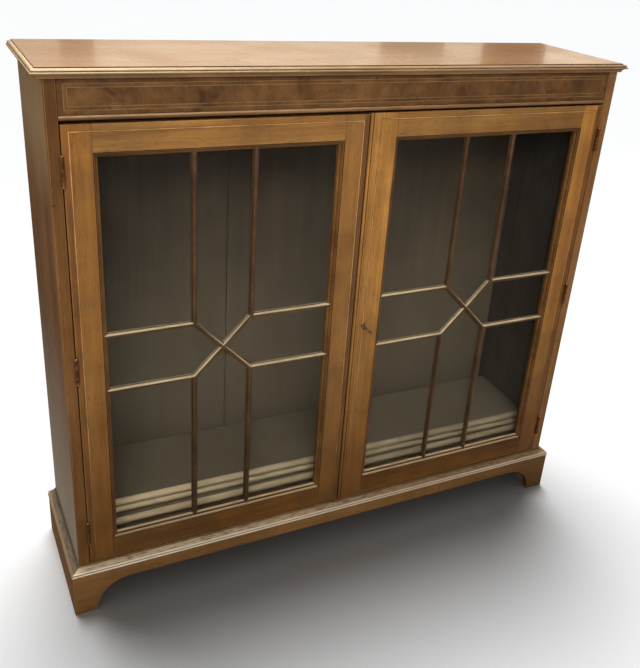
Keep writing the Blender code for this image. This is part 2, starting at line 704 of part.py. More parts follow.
def add_key(key_frame):
    """Drawn along Y about its own axis, from the door face."""
    bow_middle = KEY_BOW_RADIUS + KEY_BOW_WIRE - KEY_PROJECTION
    tip = DOOR_THICKNESS + LOCK_DEPTH - LOCK_WALL - KEY_END_GAP
    bow = bmesh.new()
    bmesh.ops.create_circle(bow, segments=ROUND_SIDES // 2 + 2, radius=KEY_BOW_WIRE)
    bmesh.ops.rotate(bow, matrix=Matrix.Rotation(math.pi / 2, 3, "X"), verts=bow.verts)
    bmesh.ops.translate(bow, vec=(0, 0, KEY_BOW_RADIUS), verts=bow.verts)
    bmesh.ops.spin(bow, geom=bow.edges[:], axis=(1, 0, 0), cent=(0, 0, 0), angle=2 * math.pi,
                   steps=BOW_STEPS, use_merge=True)
    bmesh.ops.recalc_face_normals(bow, faces=bow.faces)
    bmesh.ops.translate(bow, vec=(0, bow_middle, 0), verts=bow.verts)
    shank = rod((0, bow_middle + KEY_BOW_RADIUS, 0), (0, tip, 0), KEY_SHANK_RADIUS)
    bit_start = DOOR_THICKNESS + KEY_BIT_START
    bit = box((-KEY_BIT_THICKNESS / 2, KEY_BIT_THICKNESS / 2), (bit_start, bit_start + KEY_BIT_LENGTH),
              (-KEY_BIT_REACH, 0))
    key = combine(combine(shank, bow, "UNION"), bit, "UNION")
    piece = add_object("key", make_mesh("key", key), "steel", key_frame)
    piece.rotation_euler = (0, KEY_TURN, 0)


def add_left_bolt(door, frame, bolt_frame):
    middle_x = door.side * (door.sight_inner + door.meeting_edge) / 2
    middle_y = DOOR_THICKNESS + FIT + BOLT_CASE_DEPTH / 2
    case_high = door.head - BOLT_CASE_DROP
    case_low = case_high - BOLT_CASE_LENGTH

    def around(width, depth, z_range):
        return box((middle_x - width / 2, middle_x + width / 2),
                   (middle_y - depth / 2, middle_y + depth / 2), z_range)

    channel = around(BOLT_WIDTH + 2 * FIT, BOLT_THICKNESS + 2 * FIT,
                     (case_low - BOLT_TAIL, case_high + BOLT_TAIL))
    case = combine(around(BOLT_CASE_WIDTH, BOLT_CASE_DEPTH, (case_low, case_high)), channel, "DIFFERENCE")
    add_piece("left_bolt_case", case, "brass", frame)

    knob_z = case_low - BOLT_TRAVEL - BOLT_KNOB_GAP - BOLT_KNOB_RADIUS
    bar = around(BOLT_WIDTH, BOLT_THICKNESS, (knob_z - BOLT_TAIL, door.head - BOLT_TIP_DROP))
    knob_y = middle_y + BOLT_KNOB_LENGTH
    knob = rod((middle_x, middle_y, knob_z), (middle_x, knob_y, knob_z), BOLT_KNOB_RADIUS)
    add_piece("left_bolt", combine(bar, knob, "UNION"), "brass", bolt_frame)


# Assembly

def main():
    case = make_frame("case", (0, 0, 0))
    case.location = (0, FRONT_Y, 0)
    add_top(case)
    add_frieze(case)
    add_base(case)
    add_back(case)
    add_plinth(case)
    add_shelves(case)
    for side in (-1, 1):
        door = Door(side)
        frame = make_frame(f"{door.name}_door_axis", (side * HINGE_X, HINGE_Y, 0), case)
        add_side(door, case)
        add_door_frame(door, frame)
        add_glazing(door, frame)
        add_hinges(door, frame, case)
        if door.bead:
            x, z = lock_place(door)
            bolt_frame = make_frame("lock_bolt_axis", (x, DOOR_THICKNESS, z + LOCK_BOLT_RISE), frame)
            add_lock(door, frame, bolt_frame)
            add_key(make_frame("key_axis", (x, 0, z), frame))
        else:
            place = (-door.sight_inner, DOOR_THICKNESS, door.head)
            add_left_bolt(door, frame, make_frame("left_bolt_axis", place, frame))


main()
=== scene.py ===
# Glazed display cabinet: mahogany case and doors, astragal glazing, brass hinges, a lock with its key.
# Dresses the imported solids, in metres, with the front towards -Y.
import json
import math

import bmesh
import bpy
from mathutils import Matrix, Vector


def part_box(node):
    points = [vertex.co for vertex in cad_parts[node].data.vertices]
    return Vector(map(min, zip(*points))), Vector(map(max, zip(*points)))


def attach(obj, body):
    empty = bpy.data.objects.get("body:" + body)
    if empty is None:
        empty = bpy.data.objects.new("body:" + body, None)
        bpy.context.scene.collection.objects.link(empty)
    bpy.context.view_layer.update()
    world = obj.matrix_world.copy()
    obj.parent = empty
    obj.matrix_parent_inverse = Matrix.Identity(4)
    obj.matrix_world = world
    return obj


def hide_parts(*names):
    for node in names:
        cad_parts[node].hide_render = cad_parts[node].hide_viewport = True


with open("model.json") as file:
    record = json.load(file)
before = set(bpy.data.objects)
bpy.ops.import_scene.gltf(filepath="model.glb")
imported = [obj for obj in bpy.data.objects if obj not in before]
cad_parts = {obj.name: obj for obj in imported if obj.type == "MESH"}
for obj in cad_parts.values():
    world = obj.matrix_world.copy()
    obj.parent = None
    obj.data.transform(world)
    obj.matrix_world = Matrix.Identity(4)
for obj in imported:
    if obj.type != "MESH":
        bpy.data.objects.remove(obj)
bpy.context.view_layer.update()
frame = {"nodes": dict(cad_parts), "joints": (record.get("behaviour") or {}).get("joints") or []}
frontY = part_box("left_hinge_stile")[0].y  # door faces and front edges of the sides
backInside, backOutside = (corner.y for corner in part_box("back_board_1"))
sides = (("left", -1), ("right", 1))  # with the way that each lies along X
print("frame loaded, nodes:", len(frame["nodes"]))


# Node helpers

def hexColor(code):
    shares = [int(code[i:i + 2], 16) / 255 for i in (0, 2, 4)]
    return [s / 12.92 if s <= 0.04045 else ((s + 0.055) / 1.055) ** 2.4 for s in shares] + [1.0]


def grey(value):
    return (value, value, value, 1.0)


def toneStops(tones, codes):
    return [(tone, hexColor(code)) for tone, code in zip(tones, codes.split())]


def addNode(tree, kind, settings=None):
    # a setting that is a socket is linked, and one that is a node is linked by its first output
    node = tree.nodes.new(f"ShaderNode{kind}")
    for key, value in (settings or {}).items():
        if isinstance(value, bpy.types.Node):
            value = value.outputs[0]
        if isinstance(value, bpy.types.NodeSocket):
            tree.links.new(value, node.inputs[key])
        elif key == "stops":  # colour ramp, as (position, colour) pairs
            ramp = node.color_ramp
            while len(ramp.elements) < len(value):
                ramp.elements.new(0.5)
            for element, (position, color) in zip(ramp.elements, value):
                element.position = position
                element.color = color
        elif isinstance(key, int) or key in node.inputs:
            node.inputs[key].default_value = value
        else:
            setattr(node, key, value)
    return node


def newLook(name):
    look = bpy.data.materials.new(name)
    look.use_nodes = True
    look.node_tree.nodes.clear()
    return look, look.node_tree, addNode(look.node_tree, "TexCoord").outputs["Object"]


# Finishes

def grainPattern(tree, place, axis, widthMm, lengthMm, seed, detail=3.0, twist=0.0):
    # noise drawn out along the grain: one cell is about widthMm across and lengthMm long
    scale = [1000 / widthMm] * 3
    scale[axis] = 1000 / lengthMm
    drawn = addNode(tree, "Mapping", {
        "Vector": place, "Scale": scale, "Location": (seed * 3.7, seed * 1.9, seed * 2.3)})
    return addNode(tree, "TexNoise", {
        "Vector": drawn, "Scale": 1.0, "Detail": detail, "Roughness": 0.55, "Distortion": twist})


def makeWood(name, spec):
    look, tree, place = newLook(name)
    axis, seed, twist = spec["grain"], spec["seed"], spec.get("twist", 0.0)
    if spec.get("curl"):  # bends the grain, as in wood cut from a crotch
        bend = addNode(tree, "TexNoise", {"Vector": place, "Scale": 1000 / spec["curlMm"], "Detail": 2.0})
        centred = addNode(tree, "VectorMath", {
            "operation": "SUBTRACT", 0: bend.outputs["Color"], 1: (0.5, 0.5, 0.5)})
        pushed = addNode(tree, "VectorMath", {"operation": "SCALE", 0: centred, "Scale": spec["curl"]})
        place = addNode(tree, "VectorMath", {"operation": "ADD", 0: place, 1: pushed})
    figure = grainPattern(tree, place, axis, *spec["figureMm"], seed, twist=twist)
    streaks = grainPattern(tree, place, axis, *spec["streakMm"], seed + 1, twist=twist)
    fibres = grainPattern(tree, place, axis, *spec["fibreMm"], seed + 2)
    half = addNode(tree, "Mix", {0: spec["streakShare"], 2: figure, 3: streaks})
    tone = addNode(tree, "Mix", {0: spec["fibreShare"], 2: half, 3: fibres})
    color = addNode(tree, "ValToRGB", {"stops": toneStops(spec["tones"], spec["colors"]), "Fac": tone})
    layers = []  # over the bare wood in this order, as (blend, share, colour)

    if spec.get("outside"):  # a board with other colours on its far face
        near, far = spec["outsideFrom"]
        other = addNode(tree, "ValToRGB", {"stops": toneStops(spec["tones"], spec["outside"]), "Fac": tone})
        depth = addNode(tree, "SeparateXYZ", {0: place}).outputs["Y"]
        layers.append(("MIX", addNode(tree, "MapRange", {0: depth, 1: near, 2: far}), other))

    # open pores along the grain, patches where the polish has darkened, and a few old spills and burns
    pores = grainPattern(tree, place, axis, *spec["poreMm"], seed + 3, detail=1.0)
    patches, spills = (
        addNode(tree, "TexNoise", {"Vector": place, "Scale": 1000 / spec[size], "Detail": 3.0})
        for size in ("patchMm", "spillMm"))
    for pattern, stops in ((pores, [(0.30, grey(1 - spec["pore"])), (0.42, grey(1.0))]),
                           (patches, [(0.32, grey(1 - spec["patch"])), (0.62, grey(1.0))]),
                           (spills, [(0.70, grey(1.0)), (0.76, grey(1 - spec["spill"]))])):
        layers.append(("MULTIPLY", 1.0, addNode(tree, "ValToRGB", {"stops": stops, "Fac": pattern})))

    if spec["wear"]:  # rubbed arrises, paler than the faces
        arrises = addNode(tree, "AmbientOcclusion", {
            "samples": 6, "inside": True, "Distance": spec["wearMm"] / 1000})
        rubbed = addNode(tree, "ValToRGB", {
            "stops": [(0.45, grey(spec["wear"])), (0.75, grey(0.0))], "Fac": arrises.outputs["AO"]})
        layers.append(("MIX", rubbed, hexColor(spec["wearColor"])))

    if spec.get("dustAndHighlight"):  # painted highlight, with dust and handling, pales the faces that look upwards
        facing = addNode(tree, "SeparateXYZ", {0: addNode(tree, "NewGeometry").outputs["Normal"]})
        specks = grainPattern(tree, place, axis, spec["speckMm"], 6 * spec["speckMm"], seed + 4)
        steep, flat = spec["dustAndHighlightSlope"]
        limits = [{0: facing.outputs["Z"], 1: steep, 2: flat, 3: 0.0, 4: spec["dustAndHighlight"]},
                  {0: specks, 1: 0.36, 2: 0.56, 3: spec["dustAndHighlightGaps"], 4: 1.0}]
        if spec.get("dustAndHighlightEnds"):  # less of it where the run returns along the sides
            sideways = addNode(tree, "Math", {"operation": "ABSOLUTE", 0: facing.outputs["X"]})
            limits.append({0: sideways, 1: 0.1, 2: 0.5, 3: 1.0, 4: spec["dustAndHighlightEnds"]})
        if spec.get("dustAndHighlightX"):  # painted highlight and dust, palest towards one end of the run
            least, most, rest = spec["dustAndHighlightX"]
            along = addNode(tree, "SeparateXYZ", {0: place}).outputs["X"]
            limits.append({0: along, 1: least, 2: most, 3: rest, 4: 1.0})
        share = 1.0
        for limit in limits:
            kept = addNode(tree, "MapRange", limit)
            share = addNode(tree, "Math", {"operation": "MULTIPLY", 0: share, 1: kept})
        layers.append(("MIX", share, hexColor(spec["dustAndHighlightColor"])))

    for stain in ("lightAndShade", "paintedLight"):  # painted light and shade: a colour mixed in more strongly towards one end of the piece
        if not spec.get(stain):
            continue
        along = addNode(tree, "SeparateXYZ", {0: place}).outputs[spec[f"{stain}Axis"]]
        clean, thick = spec[f"{stain}From"]
        depth = addNode(tree, "MapRange", {0: along, 1: clean, 2: thick, 3: 0.0, 4: spec[stain]})
        if spec.get("broadFaces"):  # only on the broad upright faces, not on their arrises
            facing = addNode(tree, "SeparateXYZ", {0: addNode(tree, "NewGeometry").outputs["Normal"]})
            broad = addNode(tree, "Math", {"operation": "ABSOLUTE", 0: facing.outputs["X"]})
            kept = addNode(tree, "MapRange", {0: broad, 1: 0.9, 2: 0.99})
            depth = addNode(tree, "Math", {"operation": "MULTIPLY", 0: depth, 1: kept})
        layers.append(("MIX", depth, hexColor(spec[f"{stain}Color"])))

    if spec["grimeAndShade"]:  # painted shade in corners, creases, gaps and under overhangs, with dirt left in the corners
        corners = addNode(tree, "AmbientOcclusion", {"samples": 6, "Distance": spec["grimeAndShadeMm"] / 1000})
        deep, shallow = spec["grimeAndShadeStops"]
        shadeAndDirt = addNode(tree, "ValToRGB", {
            "stops": [(deep, grey(1 - spec["grimeAndShade"])), (shallow, grey(1.0))], "Fac": corners.outputs["AO"]})
        layers.append(("MULTIPLY", 1.0, shadeAndDirt))

    for blend, share, tint in layers:
        mixed = addNode(tree, "Mix", {"data_type": "RGBA", "blend_type": blend, 0: share, 6: color, 7: tint})
        color = mixed.outputs[2]
    low, high = spec["roughness"]
    gloss = addNode(tree, "MapRange", {0: patches, 1: 0.3, 2: 0.7, 3: high, 4: low})
    relief = addNode(tree, "Bump", {"Height": fibres, "Strength": spec["relief"], "Distance": 0.0003})
    body = addNode(tree, "BsdfPrincipled", {
        "Base Color": color, "Roughness": gloss, "Normal": relief, "IOR": 1.5, "Coat IOR": 1.5,
        "Specular IOR Level": spec["specular"], "Coat Weight": spec["coat"],
        "Coat Roughness": spec["coatRoughness"]})
    addNode(tree, "OutputMaterial", {"Surface": body})
    return look


# old French-polished mahogany: warm brown with long darker streaks, soft sheen, pale rubbed arrises
mahogany = {
    "grain": 2, "seed": 1, "figureMm": (46, 420), "streakMm": (9, 260), "fibreMm": (2.6, 110),
    "poreMm": (1.4, 16),  # drawn coarser than real pores so that they show
    "streakShare": 0.36, "fibreShare": 0.28, "pore": 0.28, "patchMm": 90, "patch": 0.3,
    "spillMm": 30, "spill": 0.45,
    "tones": (0.28, 0.48, 0.68),  # where along the figure each colour lies
    "colors": "744818 986426 B07C36",
    "grimeAndShadeMm": 9, "grimeAndShade": 0.85, "grimeAndShadeStops": (0.25, 0.85),
    "wearMm": 1.6, "wear": 0.4, "wearColor": "B88C58",
    "roughness": (0.4, 0.55), "relief": 0.12, "specular": 0.35, "coat": 0.05, "coatRoughness": 0.3,
}
darkTones = (0.30, 0.48, 0.68)
softTones = (0.30, 0.50, 0.70)
# painted shade: the doors darker towards their feet, where less light falls
shadedFoot = {"lightAndShadeColor": "5A3614", "lightAndShadeAxis": "Z", "lightAndShadeFrom": (0.6, 0.1)}
lowRail = {
    **mahogany, "grain": 0, "seed": 3, "tones": darkTones, "colors": "543214 72491B 885923",
    # painted shade: darker towards the right end, away from the light
    "lightAndShade": 0.4, "lightAndShadeColor": "3A2410", "lightAndShadeAxis": "X", "lightAndShadeFrom": (0.2, 0.56),
}
# the case has lost most of its polish
caseMahogany = {
    **mahogany, "seed": 11, "tones": darkTones, "colors": "6E4824 8A5E30 9A6C3E",
    "patch": 0.25, "wear": 0.3, "specular": 0.1, "coat": 0.0, "roughness": (0.6, 0.75), "grimeAndShade": 0.4,
}
# the sides: a painted reflection greys them towards the foot, and painted light makes them paler under the
# top
caseSide = {
    **caseMahogany, "colors": "634021 7A522C 886037", "wear": 0.15, "broadFaces": True,
    "lightAndShade": 0.62, "lightAndShadeColor": "A69E8C", "lightAndShadeAxis": "Z", "lightAndShadeFrom": (0.66, 0.15),
    "paintedLight": 0.45, "paintedLightColor": "A88C68", "paintedLightAxis": "Z", "paintedLightFrom": (0.86, 1.0),
}
# mouldings: darker than the boards, still polished, and painted pale wherever they look upwards, a highlight
# with dust
mouldings = {
    **mahogany, "seed": 4, "grain": 0, "tones": darkTones, "colors": "3A2817 523B24 6A4F33",
    "wear": 0.2, "wearColor": "9A7450", "roughness": (0.35, 0.45), "specular": 0.2, "coat": 0.0,
    "grimeAndShade": 0.85, "grimeAndShadeMm": 4,
    "dustAndHighlight": 0.85, "dustAndHighlightColor": "D2BC98", "dustAndHighlightGaps": 0.75, "speckMm": 9, "dustAndHighlightSlope": (0.15, 0.6),
}
# the plinth's moulding: pale specks of dust in the cove, and the bead painted nearly white, a highlight with
# dust
plinthMoulding = {
    **mouldings, "seed": 6, "colors": "4A321A 684A2C 84623E", "wear": 0.0, "grimeAndShade": 0.3,
    "dustAndHighlight": 1.0, "dustAndHighlightColor": "E2C8A0", "dustAndHighlightGaps": 0.25, "speckMm": 3.5, "dustAndHighlightSlope": (0.5, 1.0),
    "dustAndHighlightX": (0.2, -0.55, 0.28),
}
plinthBead = {
    **mouldings, "seed": 7, "colors": "6A4A30 8A6444 A47E58", "wear": 0.0, "roughness": (0.4, 0.5),
    "dustAndHighlight": 0.95, "dustAndHighlightColor": "FCECD0", "dustAndHighlightGaps": 0.9, "speckMm": 60, "dustAndHighlightSlope": (-0.1, 0.35),
    "dustAndHighlightX": (0.2, -0.5, 0.45),
}
# flame veneer: darker, its figure swept about, under a dulled polish; its wide, strong corner darkening is
# painted shadow from the top's overhang
flameVeneer = {
    **mahogany, "seed": 21, "figureMm": (58, 75), "streakMm": (11, 46), "fibreMm": (3, 40),
    "curl": 0.12, "curlMm": 90, "twist": 0.8, "streakShare": 0.25, "fibreShare": 0.15,
    "patchMm": 60, "patch": 0.36, "tones": (0.30, 0.48, 0.70), "colors": "482D14 684523 795530",
    "specular": 0.2, "grimeAndShade": 0.9, "grimeAndShadeMm": 14, "grimeAndShadeStops": (0.5, 0.92),
}
# the top was polished hard: redder, with clear reflections
polishedTop = {
    **mahogany, "seed": 31, "grain": 0, "figureMm": (60, 600), "streakMm": (10, 300), "fibreMm": (2.8, 140),
    "tones": softTones, "colors": "905C42 AC7854 BC8E68", "patchMm": 120, "patch": 0.25,
    "roughness": (0.2, 0.32), "coat": 0.3, "coatRoughness": 0.08, "relief": 0.04, "specular": 0.5,
    "wear": 0.3, "wearColor": "C8A478",
}
# softwood back: dark on the inside, a painted shade, and brown on the outside; dry and unpolished
shadedPine = {
    **mahogany, "seed": 41, "figureMm": (30, 500), "streakMm": (7, 400),
    "tones": softTones, "colors": "332A1F 44392A 534634",
    "outside": "6E4E2A A07A4A BE9A66", "outsideFrom": (backInside, backOutside),
    "roughness": (0.6, 0.75), "specular": 0.2, "wear": 0.0, "grimeAndShade": 0.0, "patch": 0.25, "relief": 0.0,
    # painted light: paler towards the foot, where light falls in through the glass
    "lightAndShade": 0.4, "lightAndShadeColor": "847A64", "lightAndShadeAxis": "Z", "lightAndShadeFrom": (1.0, 0.3),
}
# loose shelves: their faces painted dark as shade, the half-round front edge a lipping painted pale as lit,
# unpolished
shelfFace = {
    **shadedPine, "seed": 45, "grain": 0, "colors": "27211A 383024 483E2E", "outside": None,
    # painted light: paler on the lower shelves
    "lightAndShade": 0.52, "lightAndShadeFrom": (0.9, 0.2),
}
shelfEdge = {
    **mahogany, "seed": 51, "grain": 0, "tones": softTones, "colors": "AA9470 CAB48C D8C49E",
    "roughness": (0.5, 0.65), "wear": 0.0, "patch": 0.25, "grimeAndShade": 0.4,
    # painted shade: darker towards the right, away from the light
    "lightAndShade": 0.55, "lightAndShadeColor": "5A5244", "lightAndShadeAxis": "X", "lightAndShadeFrom": (-0.5, 0.2),
}
# boxwood stringing: pale lines let into the mahogany, much of their colour lost under old polish
boxwood = {
    **mahogany, **shadedFoot, "seed": 61, "tones": softTones, "colors": "A06C30 C08C48 D6A868",
    "patchMm": 60, "patch": 0.4, "wear": 0.0, "grimeAndShade": 0.2, "lightAndShade": 0.7, "lightAndShadeFrom": (0.5, 0.1),
}

woods = {
    "leftHingeUpright": ("mahogany_left_hinge_upright", {
        **mahogany, **shadedFoot, "lightAndShade": 0.25, "colors": "6C4114 8E5B20 A4712E"}),
    "rightHingeUpright": ("mahogany_right_hinge_upright", {
        **mahogany, **shadedFoot, "lightAndShade": 0.8, "colors": "7C4D1A A26B29 BB843A"}),
    "hingeBand": ("mahogany_hinge_banding", {
        **mahogany, **shadedFoot, "seed": 16, "lightAndShade": 0.3, "patchMm": 60, "wear": 0.0,
        "colors": "5F370F 7E4D1A 926027"}),
    "rightMeetingUpright": ("mahogany_right_meeting_upright", {
        **mahogany, **shadedFoot, "seed": 5, "lightAndShade": 0.75, "lightAndShadeFrom": (0.8, 0.1),
        "colors": "82541F AA7430 C58F43"}),
    "leftMeetingUpright": ("mahogany_left_meeting_upright", {
        **mahogany, **shadedFoot, "seed": 8, "lightAndShade": 0.5, "lightAndShadeFrom": (0.35, 0.1),
        "tones": darkTones, "colors": "643E17 855825 976A30"}),
    "meetingBand": ("mahogany_meeting_banding", {
        **mahogany, "seed": 14, "patchMm": 60, "wear": 0.0,
        "tones": darkTones, "colors": "4E301A 6A4626 80592F"}),
    "doorAcross": ("mahogany_door_across", {
        **mahogany, "seed": 2, "grain": 0, "colors": "6F481C 92632C A97C3D",
        # painted shade: darker towards the right end, away from the light
        "lightAndShade": 0.35, "lightAndShadeColor": "5A3A1C", "lightAndShadeAxis": "X", "lightAndShadeFrom": (0.0, 0.56)}),
    "lowRail": ("mahogany_low_rail", lowRail),
    "moulding": ("mahogany_moulding", mouldings),
    # painted highlight and dust on the faces that look upwards
    "sight": ("mahogany_sight_moulding", {
        **mouldings, "seed": 10, "dustAndHighlight": 0.75, "dustAndHighlightSlope": (0.25, 0.8), "grimeAndShade": 0.6,
        "colors": "533517 704A22 865E30"}),
    # painted highlight and dust, palest at the left end
    "friezeBead": ("mahogany_frieze_bead", {
        **mouldings, "seed": 9, "dustAndHighlight": 0.6, "dustAndHighlightColor": "CAA678", "dustAndHighlightX": (0.2, -0.45, 0.2),
        "colors": "5A3A24 7A5536 98704A"}),
    "plinthMoulding": ("mahogany_plinth_moulding", plinthMoulding),
    "plinthMouldingReturn": ("mahogany_plinth_moulding_return", {
        **plinthMoulding, "grain": 1, "dustAndHighlight": 0.4, "dustAndHighlightColor": "9C8C76", "dustAndHighlightX": None,
        "colors": "443424 5C4A38 74604C"}),
    "plinthBead": ("mahogany_plinth_bead", plinthBead),
    "plinthBeadReturn": ("mahogany_plinth_bead_return", {
        **plinthBead, "grain": 1, "dustAndHighlight": 0.5, "dustAndHighlightColor": "A8987E", "dustAndHighlightX": None}),
    "caseUpright": ("mahogany_case_upright", caseSide),
    "leftCaseFront": ("mahogany_case_front_edge", {
        **caseMahogany, "seed": 15, "wear": 0.0, "colors": "5E3C1C 764E27 845B33",
        # painted shade: darker towards the head, under the top
        "lightAndShade": 0.55, "lightAndShadeColor": "3A200E", "lightAndShadeAxis": "Z", "lightAndShadeFrom": (0.7, 1.04)}),
    "rightCaseFront": ("mahogany_case_front_edge_right", {
        **caseMahogany, "seed": 18, "wear": 0.0, "colors": "6B4726 865C33 956A42"}),
    "caseAcross": ("mahogany_case_across", {
        **caseMahogany, "seed": 12, "grain": 0, "colors": "724D2A 8F6538 9F7348",
        # painted shade: darker towards the right end, away from the light
        "lightAndShade": 0.65, "lightAndShadeColor": "4A3018", "lightAndShadeAxis": "X", "lightAndShadeFrom": (0.05, 0.6)}),
    "caseReturn": ("mahogany_case_return", {**caseMahogany, "seed": 13, "grain": 1}),
    # painted shade: the inside of the case dark, a little paler towards the foot as painted light
    "caseInside": ("mahogany_case_inside", {
        **shelfFace, "seed": 46, "grain": 2, "lightAndShade": 0.12, "colors": "28231F 3C342B 4D4336"}),
    "flame": ("mahogany_flame_veneer", flameVeneer),
    "banding": ("mahogany_cross_banding", {**flameVeneer, "seed": 81, "curl": 0, "wear": 0.0}),
    "top": ("mahogany_polished_top", polishedTop),
    # painted highlight and dust on the faces that look upwards, palest at the left end, less on the returns
    "topEdge": ("mahogany_top_edge", {
        **mouldings, "seed": 33, "dustAndHighlight": 0.95, "dustAndHighlightSlope": (0.12, 0.6), "dustAndHighlightX": (0.0, -0.5, 0.3),
        "dustAndHighlightEnds": 0.4, "colors": "6A4A2E 8A6440 A07A52"}),
    "quirk": ("dark_quirk", {
        **mahogany, "seed": 35, "grain": 0, "wear": 0.0, "grimeAndShade": 0.0, "specular": 0.1, "coat": 0.0,
        "tones": darkTones, "colors": "2A180C 3A2414 4A301C"}),
    "pine": ("pine_back_shaded_inside", shadedPine),
    "shelfFace": ("shaded_shelf_face", shelfFace),
    "shelfEdge": ("lit_shelf_lipping", shelfEdge),
    "string": ("boxwood_string", boxwood),
    "caseString": ("boxwood_case_string", {**boxwood, "seed": 63, "colors": "745028 90693A A67F4E"}),
    "dyed": ("dyed_line", {**boxwood, "seed": 71, "colors": "5A3412 74461C 845222"}),
}
looks = {key: makeWood(name, spec) for key, (name, spec) in woods.items()}


def makeMetal(name, spec):
    # tarnish lies in blotches over the bare metal and thickens in the corners
    look, tree, place = newLook(name)
    blotches, scratches = (
        addNode(tree, "TexNoise", {"Vector": place, "Scale": 1000 / spec[size], "Detail": detail})
        for size, detail in (("blotchMm", 4.0), ("scratchMm", 2.0)))
    stops = toneStops((0.30, 0.55, 0.75), spec["colors"])
    color = addNode(tree, "ValToRGB", {"stops": stops, "Fac": blotches})
    corners = addNode(tree, "AmbientOcclusion", {"samples": 6, "Distance": 0.002})
    grimed = addNode(tree, "Mix", {
        "data_type": "RGBA", "blend_type": "MULTIPLY", 0: spec["grimeAndShade"], 6: color, 7: corners})
    low, high = spec["roughness"]
    gloss = addNode(tree, "MapRange", {0: blotches, 1: 0.3, 2: 0.7, 3: low, 4: high})
    relief = addNode(tree, "Bump", {"Height": scratches, "Strength": 0.08, "Distance": 0.0001})
    body = addNode(tree, "BsdfPrincipled", {
        "Base Color": grimed.outputs[2], "Roughness": gloss, "Normal": relief, "Metallic": spec["metallic"]})
    addNode(tree, "OutputMaterial", {"Surface": body})
    return look


# cast and drawn brass, long tarnished; rubbed bright on the pin heads; iron and steel gone grey
looks["brass"] = makeMetal("tarnished_brass", {
    "blotchMm": 6, "scratchMm": 0.6, "grimeAndShade": 0.6, "roughness": (0.32, 0.55), "metallic": 0.4,
    "colors": "4B2D15 704722 9E6D37"})
looks["brightBrass"] = makeMetal("rubbed_brass", {
    "blotchMm": 4, "scratchMm": 0.5, "grimeAndShade": 0.2, "roughness": (0.3, 0.45), "metallic": 0.4,
    "colors": "B08C50 D8B878 E8D0A0"})
looks["steel"] = makeMetal("worn_steel", {
    "blotchMm": 5, "scratchMm": 0.5, "grimeAndShade": 0.6, "roughness": (0.28, 0.45), "metallic": 0.8,
    "colors": "5E5448 948A7A CCC0A8"})


def makeGlass(name, spec):
    # old drawn sheet glass: clear, faintly grey, its face just uneven enough to bend reflections
    look, tree, place = newLook(name)
    waves = addNode(tree, "TexNoise", {"Vector": place, "Scale": 1000 / spec["waveMm"], "Detail": 1.0})
    relief = addNode(tree, "Bump", {"Height": waves, "Strength": spec["wave"], "Distance": 0.001})
    color = hexColor(spec["color"])
    clear = addNode(tree, "BsdfPrincipled", {
        "Base Color": color, "Normal": relief, "IOR": spec["ior"], "Roughness": 0.0,
        "Transmission Weight": 1.0})
    through = addNode(tree, "BsdfTransparent", {"Color": color})
    shaded = addNode(tree, "LightPath").outputs["Is Shadow Ray"]
    mixed = addNode(tree, "MixShader", {0: shaded, 1: clear, 2: through})
    addNode(tree, "OutputMaterial", {"Surface": mixed})
    return look


looks["glass"] = makeGlass("drawn_sheet_glass", {
    "color": "ECEBEA", "waveMm": 90, "wave": 0.015,
    "ior": 1.1})  # lower than real glass, because the studio has no room for the panes to mirror
print("finishes made:", len(looks))


# Shape helpers

def bevelEdges(bm, edges, width, segments=2, clamp=True):
    bmesh.ops.bevel(bm, geom=edges, offset=width, offset_type="OFFSET", affect="EDGES", segments=segments,
                    profile=0.5, material=-1, clamp_overlap=clamp)


def newPiece(name, bm, look, body, nodes=(), sharp=38):
    bmesh.ops.recalc_face_normals(bm, faces=bm.faces)
    mesh = bpy.data.meshes.new(name)
    bm.to_mesh(mesh)
    bm.free()
    mesh.polygons.foreach_set("use_smooth", [True] * len(mesh.polygons))
    mesh.set_sharp_from_angle(angle=math.radians(sharp))
    mesh.materials.append(looks[look])
    piece = bpy.data.objects.new(name, mesh)
    bpy.context.scene.collection.objects.link(piece)
    level = piece.modifiers.new("level_faces", "WEIGHTED_NORMAL")  # wide faces stay flat beside bevels
    level.keep_sharp = True
    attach(piece, body)
    if nodes:
        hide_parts(*nodes)


def boxBetween(low, high, rounding=0.0):
    bm = bmesh.new()
    bmesh.ops.create_cube(bm, size=1)
    bmesh.ops.scale(bm, vec=Vector(high) - Vector(low), verts=bm.verts)
    bmesh.ops.translate(bm, vec=(Vector(low) + Vector(high)) / 2, verts=bm.verts)
    if rounding:
        bevelEdges(bm, bm.edges[:], rounding)
    return bm


def boardOf(node, rounding=0.0009):
    return boxBetween(*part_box(node), rounding)


def wornBoard(node, rounding, arrisX, worn):
    # a board whose front arris at arrisX is worn rounder than the others
    low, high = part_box(node)
    bm = boxBetween(low, high)
    near = 0.00001
    arris = [e for e in bm.edges
             if all(abs(v.co.x - arrisX) < near and v.co.y < low.y + near for v in e.verts)]
    bevelEdges(bm, arris, worn, 4)
    bevelEdges(bm, [e for e in bm.edges if e.calc_face_angle(0) > math.radians(57.3)], rounding)
    return bm


def copyOf(node, rounding, shortest=0.0):
    # the solid's own shape, its triangles merged back into faces, with its longer arrises eased
    bm = bmesh.new()
    bm.from_mesh(frame["nodes"][node].data)
    bmesh.ops.remove_doubles(bm, verts=bm.verts, dist=0.000005)
    bmesh.ops.dissolve_limit(bm, angle_limit=math.radians(1), verts=bm.verts, edges=bm.edges)
    arrises = []
    for edge in bm.edges:
        slanted = any(abs(face.normal.x * face.normal.y) > 0.3 for face in edge.link_faces)  # a mitre
        if edge.calc_face_angle(0) > math.radians(50) and not slanted and edge.calc_length() > shortest:
            arrises.append(edge)
    bevelEdges(bm, arrises, rounding)
    return bm


def vertsOf(grown):
    return [v for v in grown["geom"] if isinstance(v, bmesh.types.BMVert)]


